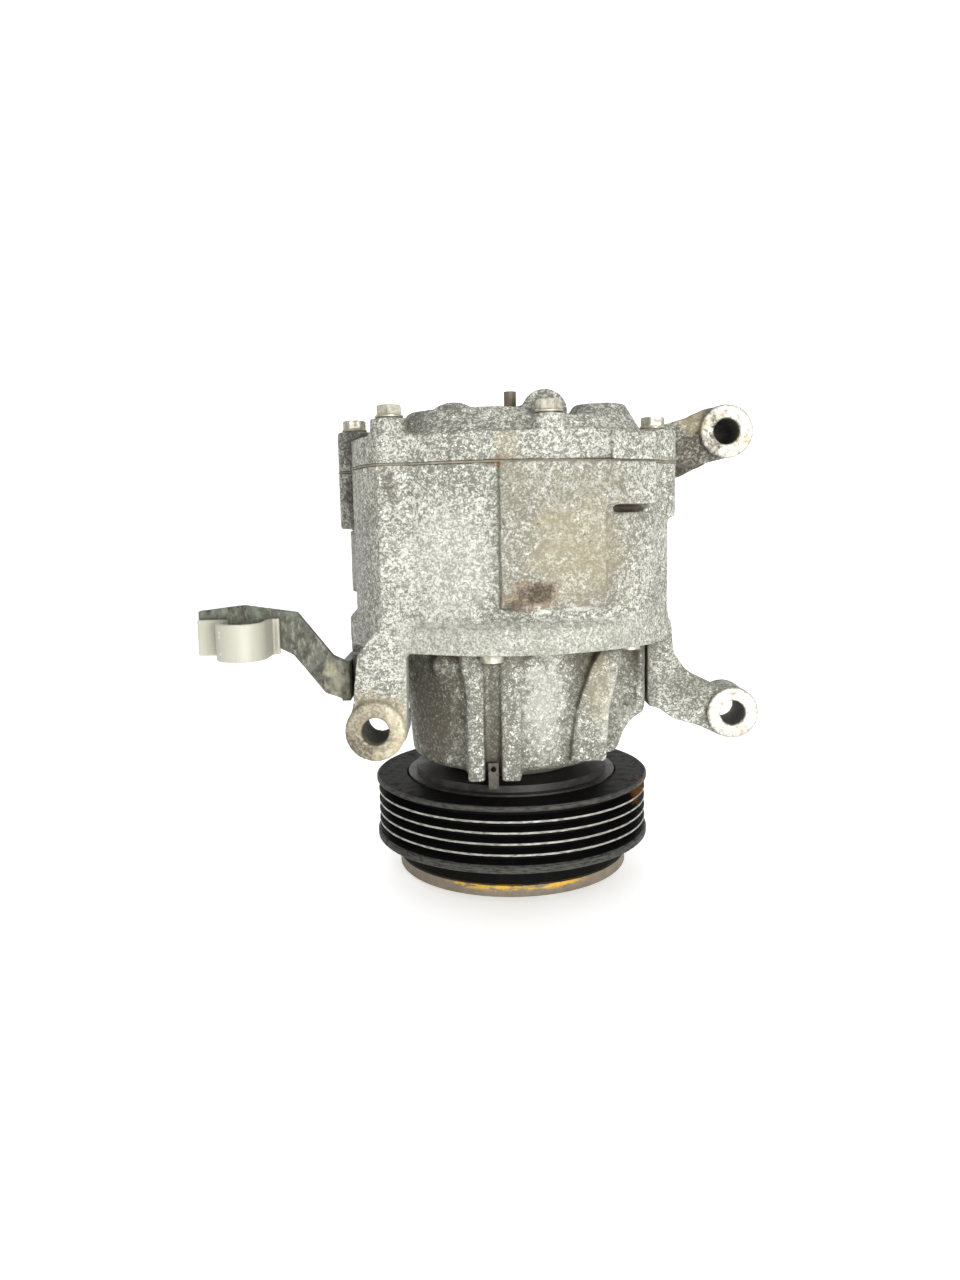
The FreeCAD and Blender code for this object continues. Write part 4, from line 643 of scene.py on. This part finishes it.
def cast(name, node, sizes, passes, material, marks=()):
    """A casting: rounded edges and rough skin, with its cut faces left crisp."""
    piece = regrid(name, node, sizes.casting_grid)
    points = spots_of(piece.data)
    cut, crisp = ear_faces(points)
    ports = port_faces(points)
    seam = near_plane(points, 2, GASKET_LEVEL, 1.2 * MM)
    held = np.maximum(np.maximum(crisp, ports), np.minimum(seam * 1.6, 1))
    inside = np.where(np.hypot(points[:, 0], points[:, 1]) < ROTOR_SPACE, 0.5, 0.0)
    inside[points[:, 2] > GASKET_LEVEL] = 0
    round_edges(piece, passes, held)
    emboss(piece, marks)
    roughen(piece, sizes.casting_skin, sizes.casting_swell, np.maximum(held, inside))
    write_mask(piece, "machined", np.maximum(cut, ports * 0.6))
    dress(piece, material)
    for polygon in piece.data.polygons:
        polygon.use_smooth = True
    return stand_for(piece, node)


def islands(node, reach):
    """Boxes round a node's separate solids, told apart by the distance across their axis."""
    points = spots_of(NODES[node].data)
    groups = []
    for point in points:
        for group in groups:
            if np.hypot(*(group[0][:2] - point[:2])) < reach:
                group.append(point)
                break
        else:
            groups.append([point])
    return [(np.min(group, axis=0), np.max(group, axis=0)) for group in groups]


def hexagon_reach(flats, angle):
    """Distance from a hexagon's centre to its side at an angle."""
    sixth = math.pi / 3
    return flats / 2 / math.cos((angle + sixth / 2) % sixth - sixth / 2)


def screw_rings(low, top, turn):
    """Rings of a flange screw from its tip to the dish in its head, as (radius, height) by angle."""
    crown = SCREW_FLATS * 0.475
    seat = top - SCREW_HEAD - SCREW_WASHER
    steps = [2 * math.pi * step / SCREW_STEPS for step in range(SCREW_STEPS)]
    sides = [hexagon_reach(SCREW_FLATS, angle + turn) for angle in steps]

    def level(reach, height):
        return [(reach, height)] * len(steps)

    rings = [level(PINPOINT, low), level(SCREW_SHANK * 0.8, low),
             level(SCREW_SHANK, low + 0.6 * MM), level(SCREW_SHANK, seat),
             level(SCREW_FLANGE - 0.1 * MM, seat), level(SCREW_FLANGE, seat + 0.2 * MM),
             level(SCREW_FLANGE, seat + 0.5 * MM), level(SCREW_FLANGE - 0.3 * MM, seat + 0.75 * MM)]
    rings.append([(side, seat + 0.9 * MM) for side in sides])
    rings.append([(side, top - (side - crown) * 0.62) for side in sides])
    rings += [level(crown, top), level(crown * 0.78, top), level(crown * 0.66, top - 0.28 * MM),
              level(PINPOINT, top - 0.3 * MM)]
    return steps, rings


def add_screw(shape, place, low, top, turn):
    """Adds one flange screw to a mesh; place turns and moves it from standing at the origin."""
    steps, rings = screw_rings(low, top, turn)
    rows = [[shape.verts.new(place @ Vector((reach * math.cos(angle), reach * math.sin(angle), height)))
             for angle, (reach, height) in zip(steps, ring)] for ring in rings]
    for one, other in zip(rows, rows[1:]):
        for step in range(len(steps)):
            after = (step + 1) % len(steps)
            shape.faces.new((one[step], one[after], other[after], other[step]))
    bmesh.ops.remove_doubles(shape, verts=shape.verts, dist=0.002 * MM)


def finish_shape(name, shape, sharp=math.radians(28)):
    bmesh.ops.recalc_face_normals(shape, faces=shape.faces)
    for edge in shape.edges:
        edge.smooth = edge.calc_face_angle(0) < sharp
    for face in shape.faces:
        face.smooth = True
    mesh = bpy.data.meshes.new(name)
    shape.to_mesh(mesh)
    shape.free()
    return link_mesh(name, mesh)


def settings():
    scene = bpy.context.scene
    return scene.compressor_sizes, scene.compressor_colours


# Stains on the castings: colour, centre and radii in millimetres, strength. Entries marked below stand
# for painted shade or painted light instead of stains. Round marks on the front casting: across,
# level, radius and height in millimetres.
SHELL_STAINS = [
    ("rust", (6, -53, 101), (11, 14, 6), 0.45),
    ("burn_and_shadow", (7, -53, 101.5), (7.5, 14, 4.4), 0.95),
    ("burn_and_shadow", (0, -53, 98), (4, 14, 2.0), 0.8),
    ("oxide_and_light", (9, -53, 96.0), (3.2, 14, 1.1), 0.7),
    ("oxide_and_light", (21, -50, 96.4), (8, 14, 0.9), 0.5),
    ("grime_and_shade", (-36, -45, 132), (3.0, 8, 4.4), 0.7),
    ("grime_and_shade", (-36.5, -45, 137), (2.2, 8, 1.8), 0.6),
    ("oxide_and_light", (-20, -50, 110), (19, 18, 24), 0.26),
    # painted shade: the left flank and the bottom of the boss above it, darkened where they turn away from
    # the light
    ("grime_and_shade", (-52, 2, 118), (7, 26, 16), 0.5),
    ("burn_and_shadow", (-52, 2, 133), (6, 20, 10), 0.8),
    ("rust", (-4, -54, 139.4), (2.0, 6, 1.2), 0.8),
    # painted shadow under the boss of the right-hand screw
    ("burn_and_shadow", (37, -38, 126.2), (8, 6, 1.4), 0.9),
    ("casting_warm", (-43, -46.5, 59), (18, 4, 18), 0.75),
    ("grime_and_shade", (-47, -46.5, 60), (12, 4, 15), 0.60),
    ("burn_and_shadow", (-49, -46.5, 54), (7, 4, 7), 0.6),
    # painted light: brightens the left side pad, which lies in shade from the light on the right
    ("oxide_and_light", (-55, -10, 110), (7, 24, 15), 0.55),
    ("grime_and_shade", (62, -12, 66), (12, 14, 9), 0.40),
    ("rust", (79, -12, 49), (5, 3, 5), 0.22),
]
COVER_STAINS = [
    # painted shade on the rear cover's left flank
    ("grime_and_shade", (-52, -4, 147), (7, 26, 10), 0.75),
    ("burn_and_shadow", (-50, -20, 152), (5, 8, 3), 0.6),
    ("burn_and_shadow", (64, 12, 144), (16, 48, 24), 0.95),
    ("casting_warm", (62, -8, 154), (8, 18, 5), 0.5),
    ("rust", (78, -12, 147), (4, 3, 5), 0.35),
    ("casting_warm", (-1, -52, 145), (5, 8, 7), 0.35),
    ("rust", (-4, -54, 141.2), (2.0, 6, 0.9), 0.8),
    ("grime_and_shade", (30, -34, 156), (14, 12, 3.5), 0.35),
    ("grime_and_shade", (-24, -36, 149), (9, 12, 4), 0.30),
]
NOSE_STAINS = [
    # painted shade in the nose's left bay
    ("grime_and_shade", (-28, -24, 62), (18, 18, 30), 0.95),
    # painted shade under the centre casting's skirt, and in the recess between the ribs
    ("burn_and_shadow", (-22, -32, 81), (13, 12, 4), 0.75),
    ("burn_and_shadow", (-7, -40, 82), (4, 8, 5), 0.6),
    ("grime_and_shade", (-6.6, -36, 62), (1.8, 4, 24), 0.55),
    ("oxide_and_light", (12, -38, 62), (12, 9, 26), 0.40),
    # painted shade under the skirt
    ("burn_and_shadow", (19, -36, 80), (4, 10, 6), 0.55),
    ("oxide_and_light", (36, -30, 60), (12, 16, 20), 0.35),
    ("casting_warm", (27, -33, 70), (6, 10, 16), 0.35),
    # painted shadow in the gap between the nose and the right leg
    ("burn_and_shadow", (44, -14, 76), (5, 18, 10), 0.5),
]
NOSE_MARKS = [(-21.5, 77.5, 4.2, 1.0), (6, 76.5, 4.6, 1.0), (33, 79, 3.8, 0.7)]


# Operators --------------------------------------------------------------------------------------

class CastHousings(bpy.types.Operator):
    """Make the front, centre and rear castings"""
    bl_idname = "compressor.cast_housings"
    bl_label = "Cast Housings"

    def execute(self, context):
        sizes, colours = settings()
        castings = [
            ("shell_casting", "centre_housing", 0.80, True, SHELL_STAINS, sizes.shell_passes, ()),
            ("cover_casting", "rear_housing", 0.78, False, COVER_STAINS, sizes.cover_passes, ()),
            ("nose_casting", "front_housing", 0.50, False, NOSE_STAINS, sizes.nose_passes, NOSE_MARKS)]
        for name, node, pale, warm, stains, passes, marks in castings:
            finish = casting_finish(name, colours, pale, warm, stains)
            cast(name, node, sizes, passes, finish, marks)
        return {"FINISHED"}


class TurnPulley(bpy.types.Operator):
    """Paint the pulley"""
    bl_idname = "compressor.turn_pulley"
    bl_label = "Turn Pulley"

    def execute(self, context):
        colours = context.scene.compressor_colours
        dress(NODES["pulley_rotor"], pulley_finish(colours))
        return {"FINISHED"}


class FitClutch(bpy.types.Operator):
    """Finish the armature, hub, springs and rivets"""
    bl_idname = "compressor.fit_clutch"
    bl_label = "Fit Clutch"

    def execute(self, context):
        colours = context.scene.compressor_colours
        rusty = rusty_finish("armature_rust", colours, mark=True)
        dress(NODES["armature_plate"], rusty)
        dress(NODES["clutch_hub"], rusty_finish("hub_rust", colours))
        springs = plain_metal_finish("spring_strip", (138, 134, 126), 0.42)
        dress(NODES["leaf_springs"], springs)
        rivets = zinc_finish("rivet_zinc", colours.zinc, colours.rust, 0.4)
        for node in ("armature_rivets", "hub_rivets", "hub_bolt", "air_gap_shim"):
            dress(NODES[node], rivets)
        return {"FINISHED"}


class DriveScrews(bpy.types.Operator):
    """Make the screws that hold the rear cover"""
    bl_idname = "compressor.drive_screws"
    bl_label = "Drive Screws"

    def execute(self, context):
        colours = context.scene.compressor_colours
        shape = bmesh.new()
        for index, (low, high) in enumerate(islands("rear_cover_screws", SCREW_SPACE)):
            middle = (low + high) / 2
            place = Matrix.Translation((middle[0], middle[1], 0))
            add_screw(shape, place, low[2], high[2], 0.35 + 0.7 * index)
        screws = finish_shape("cover_screw_set", shape)
        dress(screws, zinc_finish("screw_zinc", colours.zinc, tint(150, 128, 84), 0.5))
        stand_for(screws, "rear_cover_screws")
        dress(NODES["front_housing_screws"], zinc_finish("socket_zinc", colours.zinc, colours.grime_and_shade, 0.5))
        return {"FINISHED"}


class BendBracket(bpy.types.Operator):
    """Make the side bracket, its bolt and the strap clip"""
    bl_idname = "compressor.bend_bracket"
    bl_label = "Bend Bracket"

    def execute(self, context):
        sizes, colours = settings()
        for name, node, finish in (("bracket_sheet", "bracket_arm", sheet_finish(colours)),
                                   ("strap_clip", "harness_clip", clip_finish(colours))):
            piece = regrid(name, node, sizes.sheet_grid)
            loose = np.zeros(len(piece.data.vertices))
            round_edges(piece, 4, loose)
            roughen(piece, 0.06 * MM, 0.10 * MM, loose)
            dress(piece, finish)
            for polygon in piece.data.polygons:
                polygon.use_smooth = True
            stand_for(piece, node)
        low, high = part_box("bracket_bolt")
        middle = (low + high) / 2
        shape = bmesh.new()
        place = Matrix.Translation((0, middle.y, middle.z)) @ Matrix.Rotation(-math.pi / 2, 4, "Y")
        add_screw(shape, place, -high.x, -low.x, 0.3)
        bolt = finish_shape("bracket_bolt_screw", shape)
        dress(bolt, zinc_finish("bracket_zinc", colours.sheet, colours.rust, 0.45))
        stand_for(bolt, "bracket_bolt")
        return {"FINISHED"}


class FitFittings(bpy.types.Operator):
    """Finish the stud, relief valve, coil and its lug"""
    bl_idname = "compressor.fit_fittings"
    bl_label = "Fit Fittings"

    def execute(self, context):
        colours = context.scene.compressor_colours
        dress(NODES["cover_stud"], rusty_finish("stud_rust", colours))
        dress(NODES["relief_valve"], zinc_finish("valve_brass", tint(196, 160, 92), colours.grime_and_shade, 0.4))
        dress(NODES["coil_lug"], zinc_finish("lug_zinc", tint(84, 80, 72), colours.grime_and_shade, 0.5))
        dress(NODES["coil_housing"], moulded_finish("coil_enamel", (34, 33, 31), 0.5))
        dress(NODES["coil_winding"], plain_metal_finish("winding_enamel", (150, 82, 44), 0.4, 0.5))
        return {"FINISHED"}


# Finishes given earlier to pieces whose slot would bring a plainer one.
DRESSED = ("spring_strip", "rivet_zinc", "socket_zinc", "gasket_sheet")


class DressInsides(bpy.types.Operator):
    """Finish the scrolls, shaft, bearings and seals inside the casing"""
    bl_idname = "compressor.dress_insides"
    bl_label = "Dress Insides"

    def execute(self, context):
        kinds = {
            "machined_aluminium": plain_metal_finish("scroll_aluminium", (206, 206, 204), 0.34),
            "spring_steel": plain_metal_finish("ring_steel", (122, 122, 120), 0.4),
            "bright_steel": plain_metal_finish("bright_steel", (196, 194, 186), 0.3),
            "bearing_steel": plain_metal_finish("ground_steel", (188, 188, 190), 0.18),
            "forged_steel": plain_metal_finish("forged_steel", (128, 128, 130), 0.44),
            "seal_rubber": moulded_finish("seal_rubber", (36, 36, 36), 0.66),
            "seal_plastic": moulded_finish("seal_plastic", (226, 220, 204), 0.48),
        }
        dress(NODES["rear_gasket"], moulded_finish("gasket_sheet", (122, 116, 100), 0.8))
        for node, thing in NODES.items():
            if SLOT_OF[node] in kinds and not thing.data.materials[0].name.startswith(DRESSED):
                dress(thing, kinds[SLOT_OF[node]])
        return {"FINISHED"}


class SetStage(bpy.types.Operator):
    """Set the floor, backdrop, lights and camera"""
    bl_idname = "compressor.set_stage"
    bl_label = "Set Stage"

    def execute(self, context):
        stage = context.scene.compressor_stage
        sweep(stage)
        lights(stage)
        camera(context.scene)
        context.scene.view_settings.view_transform = "Standard"
        return {"FINISHED"}


def sweep(stage):
    """A floor that curves up into a backdrop."""
    back = stage.backdrop_distance
    bend = BACKDROP_BEND
    line = [(-FLOOR_REACH, 0), (back - bend, 0)]
    line += [(back - bend + bend * math.sin(angle), bend - bend * math.cos(angle))
             for angle in np.linspace(0.1, math.pi / 2, 14)]
    line.append((back, FLOOR_REACH))
    shape = bmesh.new()
    sides = [[shape.verts.new((side, along, level - FLOOR_DROP)) for along, level in line]
             for side in (-FLOOR_HALF_WIDTH, FLOOR_HALF_WIDTH)]
    for step in range(len(line) - 1):
        shape.faces.new((sides[0][step], sides[1][step], sides[1][step + 1], sides[0][step + 1]))
    floor = finish_shape("studio_floor", shape, math.radians(60))
    paper = Finish("studio_paper", 0.85)
    tone = paper.speckle(60, 0.3, 0.7, detail=2)
    shade = tuple(stage.floor_colour)
    dress(floor, paper.done(paper.mix(shade, tuple(value * 0.985 for value in shade), tone)))
    paper.shader.inputs["Emission Color"].default_value = (*shade, 1)
    paper.shader.inputs["Emission Strength"].default_value = stage.floor_glow


def lights(stage):
    """A large soft light in front and to the right, a weaker one above on the left, and an even sky."""
    middle = Vector((0, 0, 0.08))
    for name, place, size, power in (("key", (0.30, -0.86, 0.13), 0.26, stage.key_power),
                                     ("side", (-0.30, -0.70, 0.55), 0.6, stage.fill_power)):
        lamp = bpy.data.lights.new(name, "AREA")
        lamp.shape = "SQUARE"
        lamp.size = size
        lamp.energy = power
        thing = bpy.data.objects.new(name, lamp)
        thing.location = place
        thing.rotation_euler = (middle - Vector(place)).to_track_quat("-Z", "Y").to_euler()
        bpy.context.scene.collection.objects.link(thing)
    world = bpy.data.worlds.new("studio_sky")
    world.use_nodes = True
    world.node_tree.nodes["Background"].inputs["Color"].default_value = (1, 1, 1, 1)
    world.node_tree.nodes["Background"].inputs["Strength"].default_value = stage.sky
    bpy.context.scene.world = world


def camera(scene):
    lens = bpy.data.cameras.new("front_view")
    lens.sensor_fit = "HORIZONTAL"
    lens.sensor_width = SENSOR_MM
    lens.lens = LENS_MM
    lens.clip_start = 0.01
    lens.clip_end = 20
    thing = bpy.data.objects.new("front_view", lens)
    scene.collection.objects.link(thing)
    right = CAMERA_RIGHT.normalized()
    ahead = CAMERA_AHEAD.normalized()
    up = right.cross(ahead)
    turn = Matrix((right, up, -ahead)).transposed().to_4x4()
    thing.matrix_world = Matrix.Translation(CAMERA_PLACE) @ turn
    scene.camera = thing


STEPS = (CastHousings, TurnPulley, FitClutch, DriveScrews, BendBracket, FitFittings, DressInsides, SetStage)
GROUPS = (("compressor_sizes", CompressorSizes), ("compressor_colours", CompressorColours),
          ("compressor_stage", StageSettings))


class CompressorPanel(bpy.types.Panel):
    """Lists the steps that finish the compressor"""
    bl_idname = "VIEW3D_PT_compressor"
    bl_label = "Scroll Compressor"
    bl_space_type = "VIEW_3D"
    bl_region_type = "UI"
    bl_category = "Compressor"

    def draw(self, context):
        column = self.layout.column()
        for step in STEPS:
            column.operator(step.bl_idname)
        for attribute, group in GROUPS:
            for name in group.__annotations__:
                column.prop(getattr(context.scene, attribute), name)


def register():
    for attribute, group in GROUPS:
        bpy.utils.register_class(group)
        setattr(bpy.types.Scene, attribute, bpy.props.PointerProperty(type=group))
    for step in STEPS:
        bpy.utils.register_class(step)
    bpy.utils.register_class(CompressorPanel)


def unregister():
    bpy.utils.unregister_class(CompressorPanel)
    for step in reversed(STEPS):
        bpy.utils.unregister_class(step)
    for attribute, group in reversed(GROUPS):
        delattr(bpy.types.Scene, attribute)
        bpy.utils.unregister_class(group)


def main():
    register()
    for step in STEPS:
        family, name = step.bl_idname.split(".")
        getattr(getattr(bpy.ops, family), name)()


if __name__ == "__main__":
    main()
